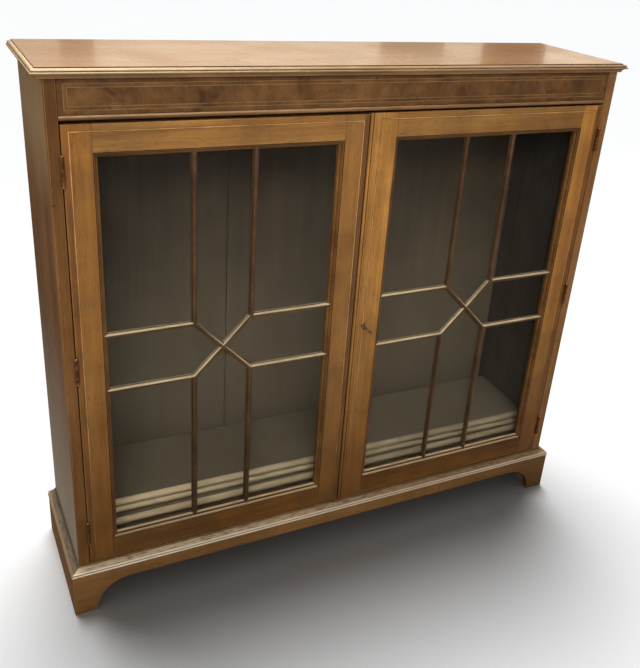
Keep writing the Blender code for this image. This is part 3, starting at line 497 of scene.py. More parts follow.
def runOf(points, travel=(0, 0, 0)):
    # a flat outline drawn out in a straight line, with the points of its far end
    bm = bmesh.new()
    face = bm.faces.new([bm.verts.new(p) for p in points])
    moved = vertsOf(bmesh.ops.extrude_face_region(bm, geom=[face]))
    bmesh.ops.translate(bm, vec=travel, verts=moved)
    bmesh.ops.recalc_face_normals(bm, faces=bm.faces)
    return bm, moved


def growLoop(bm, loop):
    # a second loop of edges, joined to the first and still lying on it, with its points
    grown = bmesh.ops.extrude_edge_only(bm, edges=loop)
    fresh = set(vertsOf(grown))
    edges = [e for e in grown["geom"] if isinstance(e, bmesh.types.BMEdge) and set(e.verts) <= fresh]
    return edges, fresh


def ringOf(rectangle, section):
    # a section of (inset, y) points swept round an upright rectangle, mitred at its corners
    left, bottom, right, top = rectangle
    middle = Vector(((left + right) / 2, 0, (bottom + top) / 2))
    inset, depth = section[0]
    places = ((left + inset, bottom + inset), (right - inset, bottom + inset),
              (right - inset, top - inset), (left + inset, top - inset))
    bm = bmesh.new()
    verts = [bm.verts.new((x, depth, z)) for x, z in places]
    firstLoop = [bm.edges.new((verts[i - 1], verts[i])) for i in range(4)]
    loop = firstLoop
    for before, after in zip(section, section[1:]):
        loop, fresh = growLoop(bm, loop)
        for vert in fresh:
            vert.co.x += (after[0] - before[0]) * (1 if vert.co.x < middle.x else -1)
            vert.co.z += (after[0] - before[0]) * (1 if vert.co.z < middle.z else -1)
            vert.co.y += after[1] - before[1]
    bmesh.ops.bridge_loops(bm, edges=firstLoop + loop)
    return bm


letInDepth = 0.0005  # of strips and lines below the face that they lie in


def letInStrip(edges, foot, head, proud):
    # an upright strip in the front, a hair proud of it so that it shows
    return boxBetween((edges[0], frontY - proud, foot), (edges[1], frontY + letInDepth, head))


def letInRing(rectangle, outer, inner, face, proud, depth=letInDepth):
    # a line round a rectangle, between two insets
    return ringOf(rectangle, [(outer, face + depth), (outer, face - proud), (inner, face - proud),
                              (inner, face + depth)])


def joinInto(bm, other, matrix=None):
    carrier = bpy.data.meshes.new("carrier")
    other.to_mesh(carrier)
    other.free()
    if matrix:
        carrier.transform(matrix)
    bm.from_mesh(carrier)
    bpy.data.meshes.remove(carrier)


def rodBetween(start, finish, radius, rounding=0.0):
    start, finish = Vector(start), Vector(finish)
    axis = finish - start
    bm = bmesh.new()
    bmesh.ops.create_cone(bm, cap_ends=True, segments=24, radius1=radius, radius2=radius, depth=axis.length)
    if rounding:
        rims = [e for e in bm.edges if abs(e.verts[0].co.z - e.verts[1].co.z) < axis.length / 2]
        bevelEdges(bm, rims, rounding)
    turn = axis.to_track_quat("Z", "Y").to_matrix().to_4x4()
    bmesh.ops.transform(bm, matrix=Matrix.Translation((start + finish) / 2) @ turn, verts=bm.verts)
    return bm


def sweepCurve(start, finish, steps):
    # quarter of an ellipse that leaves start along its first axis
    turns = [math.pi / 2 * i / steps for i in range(steps + 1)]
    return [(start[0] + (finish[0] - start[0]) * math.sin(t),
             start[1] + (finish[1] - start[1]) * (1 - math.cos(t))) for t in turns]


# Case

def makeTop():
    # a flat polished face standing a quirk above the moulded edge that runs round three sides
    spec = {"quirk": 0.0018, "ovolo": (0.0072, 0.0056), "groove": (0.0058, 0.0062), "bead": (0.0066, 0.0069),
            "fillet": 0.009, "filletHead": 0.0092, "filletFoot": 0.010, "steps": 8,  # as (out, down)
            "arris": 0.0004, "lineWidth": 0.0003, "lineDown": 0.0005, "backEdge": 0.05}
    low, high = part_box("top_board")
    reach, quirk = spec["fillet"], spec["quirk"]
    panel = boxBetween((low.x + reach, low.y + reach, high.z - 2 * quirk), (high.x - reach, high.y, high.z),
                       spec["arris"])
    newPiece("top_polished_face", panel, "top", "carcass")
    # a dark line along the step of the quirk, below the polished face
    out = reach - spec["lineWidth"]
    line = boxBetween((low.x + out, low.y + out, high.z - 2 * quirk),
                      (high.x - out, high.y, high.z - spec["lineDown"]))
    newPiece("top_quirk_line", line, "quirk", "carcass")
    edge = [(0, quirk)] + sweepCurve((quirk, quirk), spec["ovolo"], spec["steps"]) + [spec["groove"]]
    edge += sweepCurve(spec["bead"], (reach, spec["filletHead"]), spec["steps"])
    edge += sweepCurve((reach, spec["filletFoot"]), (0, high.z - low.z), spec["steps"])
    bm = bmesh.new()
    bmesh.ops.create_grid(bm, x_segments=1, y_segments=1, size=0.5)
    bmesh.ops.scale(bm, vec=(high.x - low.x - 2 * reach, high.y - low.y - reach, 1), verts=bm.verts)
    bmesh.ops.translate(bm, vec=(0, (low.y + reach + high.y) / 2, high.z - quirk), verts=bm.verts)
    loop = [e for e in bm.edges if e.is_boundary]
    for before, after in zip(edge, edge[1:]):
        loop, fresh = growLoop(bm, loop)
        for vert in fresh:
            vert.co.x += (after[0] - before[0]) * (1 if vert.co.x > 0 else -1)
            vert.co.z -= after[1] - before[1]
            if vert.co.y < high.y - spec["backEdge"]:  # the back edge stays straight
                vert.co.y -= after[0] - before[0]
    bmesh.ops.contextual_create(bm, geom=loop)
    newPiece("top_moulded_edge", bm, "topEdge", "carcass", ["top_board"])


def makeFrieze():
    spec = {"arris": 0.0006, "bandX": 0.557, "bandFoot": 1.0377, "bandHead": 1.0738, "band": 0.006,
            "line": 0.0008, "proud": 0.00005, "lineProud": 0.0001, "nose": 0.48}
    newPiece("frieze_board", boardOf("frieze_rail", spec["arris"]), "flame", "carcass",
             ["frieze_rail"])
    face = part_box("frieze_rail")[0].y
    rectangle = (-spec["bandX"], spec["bandFoot"], spec["bandX"], spec["bandHead"])
    half, line = spec["band"] / 2, spec["line"] / 2
    for name, centre, width, proud, look in (("banding", 0, half, spec["proud"], "banding"),
                                             ("outer_string", -half, line, spec["lineProud"], "caseString"),
                                             ("inner_string", half, line, spec["lineProud"], "caseString")):
        newPiece(f"frieze_{name}", letInRing(rectangle, centre - width, centre + width, face, proud), look,
                 "carcass")
    low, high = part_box("frieze_bead")
    bm = boxBetween(low, high)
    front = [e for e in bm.edges if all(v.co.y < (low.y + high.y) / 2 for v in e.verts)]
    nose = [e for e in front if e.calc_length() > (high.x - low.x) / 2]
    bevelEdges(bm, nose, (high.z - low.z) * spec["nose"], 6)
    newPiece("frieze_bead_run", bm, "friezeBead", "carcass", ["frieze_bead"])


def makeCase():
    spec = {"arris": 0.0012, "worn": 0.0016, "edgeProud": 0.00006, "headGap": 0.0005,
            "stringIn": 0.0032, "stringWidth": 0.001, "stringProud": 0.00015,
            "shadeSheetFrom": 0.026, "shadeSheet": 0.0002, "railArris": 0.0008, "plankArris": 0.002,
            "tongue": (0.008, 0.002), "tongueEnd": 0.001}
    foot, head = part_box("plinth_mould_front")[1].z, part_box("top_board")[0].z - spec["headGap"]
    for side, way in sides:
        board = f"side_{side}"
        low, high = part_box(board)
        inner, outer = (high.x, low.x) if way < 0 else (low.x, high.x)
        newPiece(f"case_side_{side}", wornBoard(board, spec["arris"], inner, spec["worn"]), "caseUpright",
                 "carcass", [board])
        stringX, half = outer - way * spec["stringIn"], spec["stringWidth"] / 2
        string = letInStrip((stringX - half, stringX + half), foot, head, spec["stringProud"])
        newPiece(f"case_string_{side}", string, "caseString", "carcass")
        edges = sorted((outer - way * spec["arris"], inner + way * spec["worn"]))
        newPiece(f"case_front_edge_{side}", letInStrip(edges, foot, head, spec["edgeProud"]),
                 f"{side}CaseFront", "carcass")
        edges = sorted((inner, inner - way * spec["shadeSheet"]))  # painted shade: a dark sheet on the inner face, behind the door
        shadeSheet = boxBetween((edges[0], frontY + spec["shadeSheetFrom"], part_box("bottom_board")[1].z),
                            (edges[1], backInside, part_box("frieze_rail")[0].z))
        newPiece(f"case_shade_sheet_{side}", shadeSheet, "caseInside", "carcass")
    newPiece("case_floor", boardOf("bottom_board"), "caseInside", "carcass",
             ["bottom_board"])
    newPiece("base_rail_run", copyOf("base_rail", spec["railArris"]), "caseAcross", "carcass",
             ["base_rail"])
    for i in (1, 2, 3):
        newPiece(f"back_plank_{i}", boardOf(f"back_board_{i}", spec["plankArris"]), "pine", "carcass",
                 [f"back_board_{i}"])
    half, thick = spec["tongue"][0] / 2, spec["tongue"][1] / 2
    for i in (1, 2):  # a loose tongue in each joint, so that no light comes through
        low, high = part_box(f"back_board_{i}")
        jointX = (high.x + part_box(f"back_board_{i + 1}")[0].x) / 2
        middleY = (low.y + high.y) / 2
        tongue = boxBetween((jointX - half, middleY - thick, low.z + spec["tongueEnd"]),
                            (jointX + half, middleY + thick, high.z - spec["tongueEnd"]))
        newPiece(f"back_tongue_{i}", tongue, "pine", "carcass")


def makeShelf(level):
    # a board painted dark as shade, with a half-round lipping along its front edge painted pale as lit
    spec = {"depth": 0.196, "lipping": 0.0088, "arris": 0.0008,
            "skew": {"lower": 0, "middle": -0.7, "upper": -0.7}}  # in degrees, as it was put down
    low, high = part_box(f"shelf_{level}")
    turn = Matrix.Rotation(math.radians(spec["skew"][level]), 3, "Z")
    joint = (low + high) / 2 + turn @ Vector((0, spec["lipping"] - spec["depth"] / 2, 0))
    for name, look, cut, nodes in (("board", "shelfFace", "clear_inner", [f"shelf_{level}"]),
                                   ("lipping", "shelfEdge", "clear_outer", [])):
        bm = copyOf(f"shelf_{level}", spec["arris"])
        bmesh.ops.bisect_plane(bm, geom=bm.verts[:] + bm.edges[:] + bm.faces[:], dist=0.000001,
                               plane_co=joint, plane_no=turn @ Vector((0, 1, 0)), **{cut: True})
        bmesh.ops.holes_fill(bm, edges=[e for e in bm.edges if e.is_boundary])
        newPiece(f"loose_shelf_{level}_{name}", bm, look, "carcass", nodes)


def makePlinth():
    # boards with bracket feet, under a mitred moulding: a fillet, a bead standing back on it and a cove
    spec = {"arris": 0.0008, "reach": 0.018, "fillet": 0.0028, "slope": 0.0018, "step": 0.0014,
            "bead": 0.0027, "beadFrom": -60, "beadTo": 90, "cove": 0.0063, "lip": 0.001, "gap": 0.0003,
            "steps": 8}
    for name, look in (("front", "caseAcross"), ("left", "caseReturn"), ("right", "caseReturn")):
        newPiece(f"plinth_board_{name}", copyOf(f"plinth_{name}", spec["arris"]), look, "carcass",
                 [f"plinth_{name}"])
    low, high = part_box("plinth_mould_front")
    gap, reach, fillet, radius = spec["gap"], spec["reach"], spec["fillet"], spec["bead"]
    foot = low.z - gap
    height = high.z - foot
    middle = (reach - spec["step"] - radius, fillet + radius)
    bead = [(gap, gap), (reach, gap), (reach, fillet - spec["slope"]), (reach - spec["slope"], fillet)]
    for i in range(2 * spec["steps"] + 1):
        share = i / (2 * spec["steps"])
        angle = math.radians(spec["beadFrom"] + (spec["beadTo"] - spec["beadFrom"]) * share)
        bead.append((middle[0] + radius * math.cos(angle), middle[1] + radius * math.sin(angle)))
    bead.append((gap, middle[1] + radius))
    cove = [(gap, height - spec["cove"])]
    cove += sweepCurve((middle[0], height - spec["cove"]), (spec["lip"], height), spec["steps"])
    cove.append((gap, height))
    caseHalf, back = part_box("side_right")[1].x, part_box("side_right")[1].y
    for part, section, look in (("bead", bead, "plinthBead"), ("cove", cove, "plinthMoulding")):
        for side, way in (("front", 0), *sides):
            nodes = [f"plinth_mould_{side}"] if part == "cove" else []
            if side == "front":
                bm, moved = runOf([(gap - caseHalf - out, frontY - out, foot + up) for out, up in section])
                for vert in moved:  # the far mitre slopes the other way
                    vert.co.x = -vert.co.x
            else:
                bm, moved = runOf([(way * (caseHalf + out), frontY + gap - out, foot + up)
                                   for out, up in section])
                for vert in moved:
                    vert.co.y = back
            newPiece(f"plinth_{part}_{side}", bm, look if side == "front" else f"{look}Return", "carcass",
                     nodes)


makeTop()
makeFrieze()
makeCase()
for level in ("lower", "middle", "upper"):
    makeShelf(level)
makePlinth()
print("case made")


# Doors

def makeDoorFrame(door):
    spec = {"arris": 0.0005, "worn": 0.0016, "meetingArris": 0.0009, "shortest": 0.01,
            # darker strips between the strings and the edges of the doors
            "proud": 0.00006, "endGap": 0.001, "bandTo": {"left": 0.558, "right": 0.5565},
            "meetingBandFrom": -0.0165}
    body, slot = f"{door}_door", "door_mahogany"
    stile = f"{door}_hinge_stile"
    low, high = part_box(stile)
    foot, head = low.z + spec["endGap"], high.z - spec["endGap"]
    hingeX = low.x if door == "left" else high.x
    newPiece(f"{stile}_board", wornBoard(stile, spec["arris"], hingeX, spec["worn"]), f"{door}HingeUpright",
             body, [stile])
    edges = sorted(math.copysign(x, hingeX) for x in (abs(hingeX) - spec["worn"], spec["bandTo"][door]))
    newPiece(f"{door}_hinge_banding", letInStrip(edges, foot, head, spec["proud"]), "hingeBand", body)
    for rail, look in ((f"{door}_top_rail", "doorAcross"), (f"{door}_bottom_rail", "lowRail")):
        newPiece(f"{rail}_board", boardOf(rail, spec["arris"]), look, body, [rail])
    stile = f"{door}_meeting_stile"
    if door == "right":  # pierced by the keyhole, whose short edges stay sharp
        bm = copyOf(stile, spec["meetingArris"], spec["shortest"])
    else:
        bm = boardOf(stile, spec["meetingArris"])
    newPiece(f"{stile}_board", bm, f"{door}MeetingUpright", body, [stile])
    if door == "left":  # darker cross banding between the string and the meeting edge
        edges = (spec["meetingBandFrom"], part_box(stile)[1].x - spec["meetingArris"])
        newPiece("left_meeting_banding", letInStrip(edges, foot, head, spec["proud"]), "meetingBand", body)


def makeGlazing(door):
    spec = {"sightWidth": 0.009, "sightDepth": 0.0085, "sightFillet": 0.0018, "sightQuirk": (0.0003, 0.001),
            "sightSetback": 0.0005, "sightWaist": 0.0042, "sightGroove": 0.001, "sightSteps": 5,
            "gap": 0.0003, "lineOut": 0.0004, "lineIn": 0.0008, "lineProud": 0.00005,
            "barWidth": 0.012, "barSetback": 0.004, "beadWidth": 0.0082, "beadRound": 0.46,
            "baseRise": 0.0022, "knee": 0.058, "endInset": 0.001, "filletArris": 0.0004}
    body, slot = f"{door}_door", "door_mahogany"
    low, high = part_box(f"{door}_sight_moulding")
    gap, back, face = spec["gap"], high.y, frontY + spec["sightSetback"]
    rectangle = (low.x - gap, low.z - gap, high.x + gap, high.z + gap)
    waist, groove, steps = spec["sightWaist"], spec["sightGroove"], spec["sightSteps"]
    quirk = (spec["sightFillet"] + spec["sightQuirk"][0], face + spec["sightQuirk"][1])
    section = [(gap, back), (gap, face), (spec["sightFillet"], face)]
    section += sweepCurve(quirk, (waist, face + waist), steps)
    section += [(waist + way * groove / 2, face + waist + groove) for way in (-1, 1)]
    section += sweepCurve((waist + groove, face + waist + groove),
                          (spec["sightWidth"], frontY + spec["sightDepth"]), steps)
    section.append((spec["sightWidth"], back))
    newPiece(f"{door}_sight_ovolo", ringOf(rectangle, section), "sight", body,
             [f"{door}_sight_moulding"])
    line = letInRing(rectangle, -spec["lineOut"], spec["lineIn"], frontY, spec["lineProud"],
                     spec["sightSetback"] + gap)  # dirt packed in the joint round the moulding
    newPiece(f"{door}_sight_line", line, "quirk", body)

    # bars: one flat outline, a saltire with arms to the frame; a thin base carries a half-round bead
    middle = Vector(((low.x + high.x) / 2, 0, (low.z + high.z) / 2))
    reachX = (high.x - low.x) / 2 + gap - spec["endInset"]
    reachZ = (high.z - low.z) / 2 + gap - spec["endInset"]
    half = spec["barWidth"] / 2
    slant = half * math.sqrt(2)
    near, far, bend = spec["knee"] - half, spec["knee"] + half, spec["knee"] + slant - half
    arm = [(bend, near), (reachX, near), (reachX, far), (far, far), (far, reachZ), (near, reachZ),
           (near, bend)]
    upper = [(slant, 0)] + arm + [(0, slant)] + [(-x, z) for x, z in reversed(arm)]
    outline = upper + [(-x, -z) for x, z in upper]
    crown, base = frontY + spec["barSetback"], back - spec["baseRise"]
    bm = runOf([(middle.x + x, base, middle.z + z) for x, z in outline], (0, back - base, 0))[0]
    face = next(f for f in bm.faces if f.normal.y < -0.9)
    bmesh.ops.inset_region(bm, faces=[face], thickness=(spec["barWidth"] - spec["beadWidth"]) / 2,
                           use_even_offset=True)
    moved = vertsOf(bmesh.ops.extrude_face_region(bm, geom=[face]))
    bmesh.ops.delete(bm, geom=[face], context="FACES_ONLY")
    bmesh.ops.translate(bm, vec=(0, crown - base, 0), verts=moved)
    front = [e for e in bm.edges if all(v.co.y < (crown + base) / 2 for v in e.verts)]
    bevelEdges(bm, front, spec["beadWidth"] * spec["beadRound"], 6, clamp=False)
    newPiece(f"{door}_astragal_bars", bm, "moulding", body, [f"{door}_glazing_bars"])

    newPiece(f"{door}_glazing_fillet", copyOf(f"{door}_glass_fillet", spec["filletArris"]), "caseUpright",
             body, [f"{door}_glass_fillet"])
    pane = frame["nodes"][f"{door}_glass"]
    pane.data.materials.clear()
    pane.data.materials.append(looks["glass"])


def makeStrings(door):
    # boxwood line between two dyed lines, let in round the door
    spec = {"left": (-0.556, 0.1185, -0.018, 1.0005), "right": (0.0195, 0.1185, 0.5545, 1.0025),
            "light": 0.0017, "dark": 0.0036, "lightProud": 0.00018, "darkProud": 0.0001}
    for name, width, proud, look in (("dyed_string", spec["dark"], spec["darkProud"], "dyed"),
                                     ("box_string", spec["light"], spec["lightProud"], "string")):
        newPiece(f"{door}_{name}", letInRing(spec[door], -width / 2, width / 2, frontY, proud), look,
                 f"{door}_door")


def makeMeetingBead():
    # two reeds side by side along the meeting edge
    spec = {"steps": 10, "sharp": 50}
    low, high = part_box("right_meeting_bead")
    reed = (high.x - low.x) / 4
    rise = high.y - low.y
    points = []
    for centre in (high.x - reed, low.x + reed):
        for i in range(spec["steps"] + 1):
            angle = math.pi * i / spec["steps"]
            points.append((centre + reed * math.cos(angle), high.y - rise * math.sin(angle), low.z))
    del points[spec["steps"] + 1]  # the two reeds share this point
    newPiece("right_reeded_bead", runOf(points, (0, 0, high.z - low.z))[0], "rightMeetingUpright",
             "right_door", ["right_meeting_bead"], spec["sharp"])


for door in ("left", "right"):
    makeDoorFrame(door)
    makeGlazing(door)
    makeStrings(door)
makeMeetingBead()
print("doors made")


# Fittings

def slottedHead(radius, height):
    # a countersunk head seen from its face: a low disc with a slot across it, facing +Z
    spec = {"sides": 20, "slotWidth": 0.28, "slotDepth": 0.6}  # the slot in shares of radius and height
    bm = bmesh.new()
    bmesh.ops.create_cone(bm, cap_ends=True, segments=spec["sides"], radius1=radius, radius2=radius,
                          depth=height)
    half = radius * spec["slotWidth"] / 2
    for way in (-1, 1):
        bmesh.ops.bisect_plane(bm, geom=bm.verts[:] + bm.edges[:] + bm.faces[:], dist=0.000001,
                               plane_co=(0, way * half, 0), plane_no=(0, 1, 0))
    slot = [f for f in bm.faces if f.normal.z > 0.9 and abs(f.calc_center_median().y) < half]
    moved = vertsOf(bmesh.ops.extrude_face_region(bm, geom=slot))
    bmesh.ops.delete(bm, geom=slot, context="FACES_ONLY")
    bmesh.ops.translate(bm, vec=(0, 0, -height * spec["slotDepth"]), verts=moved)
    bmesh.ops.recalc_face_normals(bm, faces=bm.faces)
    return bm


def makeHinge(door, level, outwards):
    spec = {"length": 0.051, "knuckles": 5, "radius": 0.003, "knuckleArris": 0.0003, "gap": 0.0003,
            "leaf": 0.0012, "leafWidth": 0.018, "leafFrom": 0.0006, "leafArris": 0.0002, "webTo": 0.001,
            "screwRadius": 0.0026, "screwHeight": 0.0006, "screwSink": 0.42, "screwPitch": 0.66,
            "screwFrom": 0.0062, "screwStagger": 0.0055,
            "pinShare": 0.55, "headHeight": 0.0015, "headArris": 0.0006}
    name = f"{door}_{level}_hinge"
    low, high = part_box(f"{name}_pin")
    axle = (low + high) / 2
    pinRadius = (high.x - low.x) / 2
    gap, radius, half = spec["gap"], spec["radius"], spec["length"] / 2
    pitch = spec["length"] / spec["knuckles"]
    for part, body, way, first in (("case_leaf", "carcass", outwards, 0),
                                   ("door_leaf", f"{door}_door", -outwards, 1)):
        inner = way * gap / 2
        left, right = sorted((inner, way * (gap / 2 + spec["leaf"])))
        bm = boxBetween((left, radius + spec["leafFrom"], -half),
                        (right, spec["leafWidth"] + radius + gap, half), spec["leafArris"])
        for i in range(first, spec["knuckles"], 2):
            foot = i * pitch - half + gap / 2
            head = foot + pitch - gap
            joinInto(bm, rodBetween((0, 0, foot), (0, 0, head), radius, spec["knuckleArris"]))
            joinInto(bm, boxBetween((left, 0, foot), (right, radius + spec["webTo"], head)))
        facing = Matrix.Rotation(-way * math.pi / 2, 4, "Y")
        for i in range(3):
            at = Matrix.Translation((inner + way * spec["screwHeight"] * spec["screwSink"],
                                     radius + spec["screwFrom"] + (spec["screwStagger"] if i == 1 else 0),
                                     (i - 1) * half * spec["screwPitch"]))
            tilt = Matrix.Rotation(0.5 + 1.3 * i, 4, "Z")  # no two slots lie alike
            joinInto(bm, slottedHead(spec["screwRadius"], spec["screwHeight"]), at @ facing @ tilt)
        bmesh.ops.translate(bm, vec=axle, verts=bm.verts)
        newPiece(f"{name}_{part}_brass", bm, "brass", body, [f"{name}_{part}"])
    bm = rodBetween((axle.x, axle.y, low.z), (axle.x, axle.y, high.z), pinRadius * spec["pinShare"])
    for end, way in ((low.z, 1), (high.z, -1)):  # rubbed button heads on the pin
        joinInto(bm, rodBetween((axle.x, axle.y, end), (axle.x, axle.y, end + way * spec["headHeight"]),
                                pinRadius, spec["headArris"]))
    newPiece(f"{name}_pin_brass", bm, "brightBrass", "carcass", [f"{name}_pin"])


def makeKey():
    # drawn along Y about its own axis, from the door face, then turned to hang at a slant
    spec = {"projection": 0.033, "bowRadius": 0.0085, "bowWire": 0.0018, "bowSides": 14, "bowSteps": 40,
            "shank": 0.0024, "shankArris": 0.0004,
            "collar": 0.0034, "collarLength": 0.0018, "collarArris": 0.0006, "bowCollar": 0.0022,
            "doorCollar": -0.0032,
            "bitReach": 0.0075, "bitThickness": 0.002, "bitStart": 0.025, "bitLength": 0.005,
            "bitSteps": ((0, 0.4, 1.0), (0.3, 0.7, 0.7), (0.6, 1.0, 1.0)),  # a ward cut in the middle
            "bitArris": 0.0002,
            "turn": -45}
    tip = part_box("key")[1].y - frontY
    bowMiddle = spec["bowRadius"] + spec["bowWire"] - spec["projection"]
    neck = bowMiddle + spec["bowRadius"]
    bm = bmesh.new()
    bmesh.ops.create_circle(bm, segments=spec["bowSides"], radius=spec["bowWire"])
    bmesh.ops.rotate(bm, matrix=Matrix.Rotation(math.pi / 2, 3, "X"), verts=bm.verts)
    bmesh.ops.translate(bm, vec=(0, 0, spec["bowRadius"]), verts=bm.verts)
    bmesh.ops.spin(bm, geom=bm.edges[:], axis=(1, 0, 0), cent=(0, 0, 0), angle=2 * math.pi,
                   steps=spec["bowSteps"], use_merge=True)
    bmesh.ops.recalc_face_normals(bm, faces=bm.faces)
    bmesh.ops.translate(bm, vec=(0, bowMiddle, 0), verts=bm.verts)
    joinInto(bm, rodBetween((0, neck, 0), (0, tip, 0), spec["shank"], spec["shankArris"]))
    for at in (neck + spec["bowCollar"], spec["doorCollar"]):  # turned collars under the bow and at the door
        joinInto(bm, rodBetween((0, at, 0), (0, at + spec["collarLength"], 0), spec["collar"],
                                spec["collarArris"]))
    half, length = spec["bitThickness"] / 2, spec["bitLength"]
    for start, finish, reach in spec["bitSteps"]:
        joinInto(bm, boxBetween((-half, spec["bitStart"] + start * length, -reach * spec["bitReach"]),
                                (half, spec["bitStart"] + finish * length, 0), spec["bitArris"]))
    bmesh.ops.rotate(bm, matrix=Matrix.Rotation(math.radians(spec["turn"]), 3, "Y"), verts=bm.verts)
    axis = next(joint for joint in frame["joints"] if joint["name"] == "key_turn")
    bmesh.ops.translate(bm, vec=axis["pos_m"], verts=bm.verts)
    newPiece("bow_key", bm, "steel", "key", ["key"])


def addScrew(bm, x, y, z, radius, turn):
    # a slotted head on a plate that faces the back
    spec = {"height": 0.0006, "proud": 0.0001}
    at = Matrix.Translation((x, y + spec["proud"], z)) @ Matrix.Rotation(-math.pi / 2, 4, "X")
    joinInto(bm, slottedHead(radius, spec["height"]), at @ Matrix.Rotation(turn, 4, "Z"))


def makeLock():
    spec = {"arris": 0.0004, "boltArris": 0.0005, "linerArris": 0.0002, "screwIn": 0.005,
            "screwRadius": 0.0021}
    bm = copyOf("lock_case", spec["arris"])
    low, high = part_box("lock_case")
    for x in (low.x + spec["screwIn"], high.x - spec["screwIn"]):
        for z in (low.z + spec["screwIn"], high.z - spec["screwIn"]):
            addScrew(bm, x, high.y, z, spec["screwRadius"], x * 90 + z * 40)
    newPiece("lock_box", bm, "steel", "right_door", ["lock_case"])
    newPiece("lock_bolt_brass", copyOf("lock_bolt", spec["boltArris"]), "brass", "lock_bolt",
             ["lock_bolt"])
    newPiece("keyhole_liner", copyOf("escutcheon", spec["linerArris"]), "brass", "right_door",
             ["escutcheon"])


def makeLeftBolt():
    spec = {"caseArris": 0.0006, "screwIn": 0.006, "screwOut": 0.0064, "screwRadius": 0.0017,
            "thickness": 0.004, "tail": 0.006,  # of the bar, and of the bar below its knob
            "barArris": 0.0005, "knobArris": 0.0008}
    bm = copyOf("left_bolt_case", spec["caseArris"])
    low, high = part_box("left_bolt_case")
    for way in (-1, 1):
        for z in (low.z + spec["screwIn"], high.z - spec["screwIn"]):
            addScrew(bm, (low.x + high.x) / 2 + way * spec["screwOut"], high.y, z, spec["screwRadius"],
                     z * 70 + way)
    newPiece("left_bolt_barrel", bm, "brass", "left_door", ["left_bolt_case"])
    low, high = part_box("left_bolt")
    bm = boxBetween(low, (high.x, low.y + spec["thickness"], high.z), spec["barArris"])
    knob = Vector(((low.x + high.x) / 2, low.y + spec["thickness"] / 2, low.z + spec["tail"]))
    joinInto(bm, rodBetween(knob, (knob.x, high.y, knob.z), (high.x - low.x) / 2, spec["knobArris"]))
    newPiece("left_bolt_bar", bm, "brass", "left_bolt", ["left_bolt"])


for door, way in sides:
    for level in ("lower", "middle", "upper"):
        makeHinge(door, level, way)
makeKey()
makeLock()
makeLeftBolt()
print("fittings made")


# Floor, light and camera

def makeStage():
    spec = {"size": 60, "color": "EBECED", "speckMm": 400, "roughness": (0.75, 0.9), "specular": 0.1}
    look, tree, place = newLook("pale_studio_floor")
    speck = addNode(tree, "TexNoise", {"Vector": place, "Scale": 1000 / spec["speckMm"], "Detail": 2.0})
    low, high = spec["roughness"]
    gloss = addNode(tree, "MapRange", {0: speck, 1: 0.3, 2: 0.7, 3: low, 4: high})
    body = addNode(tree, "BsdfPrincipled", {
        "Base Color": hexColor(spec["color"]), "Roughness": gloss, "Specular IOR Level": spec["specular"]})
    addNode(tree, "OutputMaterial", {"Surface": body})
    bm = bmesh.new()
    bmesh.ops.create_grid(bm, x_segments=1, y_segments=1, size=spec["size"] / 2)
    mesh = bpy.data.meshes.new("studio_floor")
    bm.to_mesh(mesh)
    bm.free()
    mesh.materials.append(look)
    floor = bpy.data.objects.new("studio_floor", mesh)
    bpy.context.scene.collection.objects.link(floor)
    floor.visible_glossy = False  # keeps the white floor out of the panes
    return floor


def addLamp(name, kind, settings, place, aim, spared=None):
    lamp = bpy.data.lights.new(name, kind)
    for key, value in settings.items():
        setattr(lamp, key, value)
    holder = bpy.data.objects.new(name, lamp)
    holder.location = place
    holder.rotation_euler = (Vector(aim) - Vector(place)).to_track_quat("-Z", "Y").to_euler()
    bpy.context.scene.collection.objects.link(holder)
    holder.visible_glossy = kind != "SUN"  # its disc would burn out the polished top
    if spared:  # flagged off this object, as with barn doors
        flagged = bpy.data.collections.new(f"{name}_flag")
        flagged.objects.link(spared)
        flagged.collection_objects[0].light_linking.link_state = "EXCLUDE"
        holder.light_linking.receiver_collection = flagged


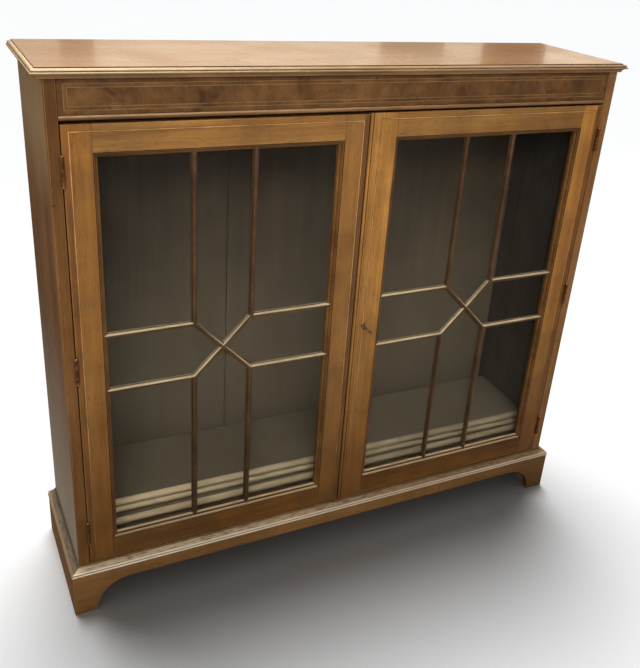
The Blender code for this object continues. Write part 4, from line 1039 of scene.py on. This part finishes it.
def makeLight(floor):
    spec = {"air": "F4F3F0", "dim": 0.14, "pale": 0.9,
            "sun": {"energy": 3.6, "angle": math.radians(32)}, "sunPlace": (0.25, 1.75, 5.0),
            # as (energy, width, height, spread in degrees, place, aim)
            "softboxes": {"front": (4.6, 1.8, 0.5, 58, (-1.2, -2.1, 2.1), (-0.1, -0.12, 0.85)),
                          "high": (2.6, 2.2, 0.35, 40, (-0.3, -1.15, 2.35), (-0.1, -0.1, 0.75))},
            # upright panels behind the cabinet that shine in its top, as (left, right, foot, energy)
            "panels": {"left": (-1.6, -0.07, 1.3, 2.6), "low_gap": (-0.07, 0.10, 1.63, 0.2),
                       "a": (0.10, 1.77, 1.3, 4.6), "high_gap": (1.77, 2.22, 1.6, 0.7),
                       "b": (2.22, 2.51, 1.3, 0.75), "c": (3.02, 3.75, 1.3, 2.5)},
            "panelY": 3.1 + frontY, "panelHead": 2.3, "panelColor": (1.0, 0.92, 0.74)}
    world = bpy.data.worlds.new("studio_air")
    world.use_nodes = True
    air = world.node_tree
    air.nodes.clear()
    dim, pale = (addNode(air, "Background", {"Color": hexColor(spec["air"]), "Strength": spec[strength]})
                 for strength in ("dim", "pale"))
    path = addNode(air, "LightPath").outputs
    through = addNode(air, "Math", {
        "operation": "MAXIMUM", 0: path["Is Camera Ray"], 1: path["Is Transmission Ray"]})
    first = addNode(air, "Math", {"operation": "LESS_THAN", 0: path["Diffuse Depth"], 1: 0.5})
    # pale where it is seen straight or through glass, lighting nothing
    seen = addNode(air, "Math", {"operation": "MULTIPLY", 0: through, 1: first})
    mixed = addNode(air, "MixShader", {0: seen, 1: dim, 2: pale})
    addNode(air, "OutputWorld", {"Surface": mixed})
    world.cycles_visibility.glossy = False  # a clear pane would mirror it as noise
    bpy.context.scene.world = world
    addLamp("high_back_lamp", "SUN", spec["sun"], spec["sunPlace"], (0, 0, 0))
    for name, (energy, width, height, spread, place, aim) in spec["softboxes"].items():
        addLamp(f"{name}_softbox", "AREA",
                {"energy": energy, "shape": "RECTANGLE", "size": width, "size_y": height,
                 "spread": math.radians(spread)}, place, aim, floor)
    for name, (left, right, foot, energy) in spec["panels"].items():
        place = ((left + right) / 2, spec["panelY"], (foot + spec["panelHead"]) / 2)
        addLamp(f"back_panel_{name}", "AREA",
                {"energy": energy, "shape": "RECTANGLE", "size": right - left,
                 "size_y": spec["panelHead"] - foot, "color": spec["panelColor"]},
                place, (place[0], 0, place[2]))


def makeCamera():
    # fitted to the photograph: its place, and its right, down and ahead directions
    spec = {"place": (-0.7763, -1.4854, 1.3457), "lens": 44.76, "sensor": 36, "shift": (-0.0311, -0.0388),
            "right": (0.89261709, -0.44474896, 0.07370949), "down": (-0.13118558, -0.41267943, -0.90138007),
            "ahead": (0.43130624, 0.79491764, -0.42670936)}
    lens = bpy.data.cameras.new("photo_camera")
    lens.sensor_width = spec["sensor"]
    lens.lens = spec["lens"]
    lens.shift_x, lens.shift_y = spec["shift"]
    holder = bpy.data.objects.new("photo_camera", lens)
    turned = Matrix((spec["right"], -Vector(spec["down"]), -Vector(spec["ahead"]))).transposed().to_4x4()
    holder.matrix_world = Matrix.Translation(spec["place"]) @ turned
    bpy.context.scene.collection.objects.link(holder)
    bpy.context.scene.camera = holder


makeLight(makeStage())
makeCamera()
bpy.context.scene.view_settings.view_transform = "Standard"
print("stage, light and camera set")
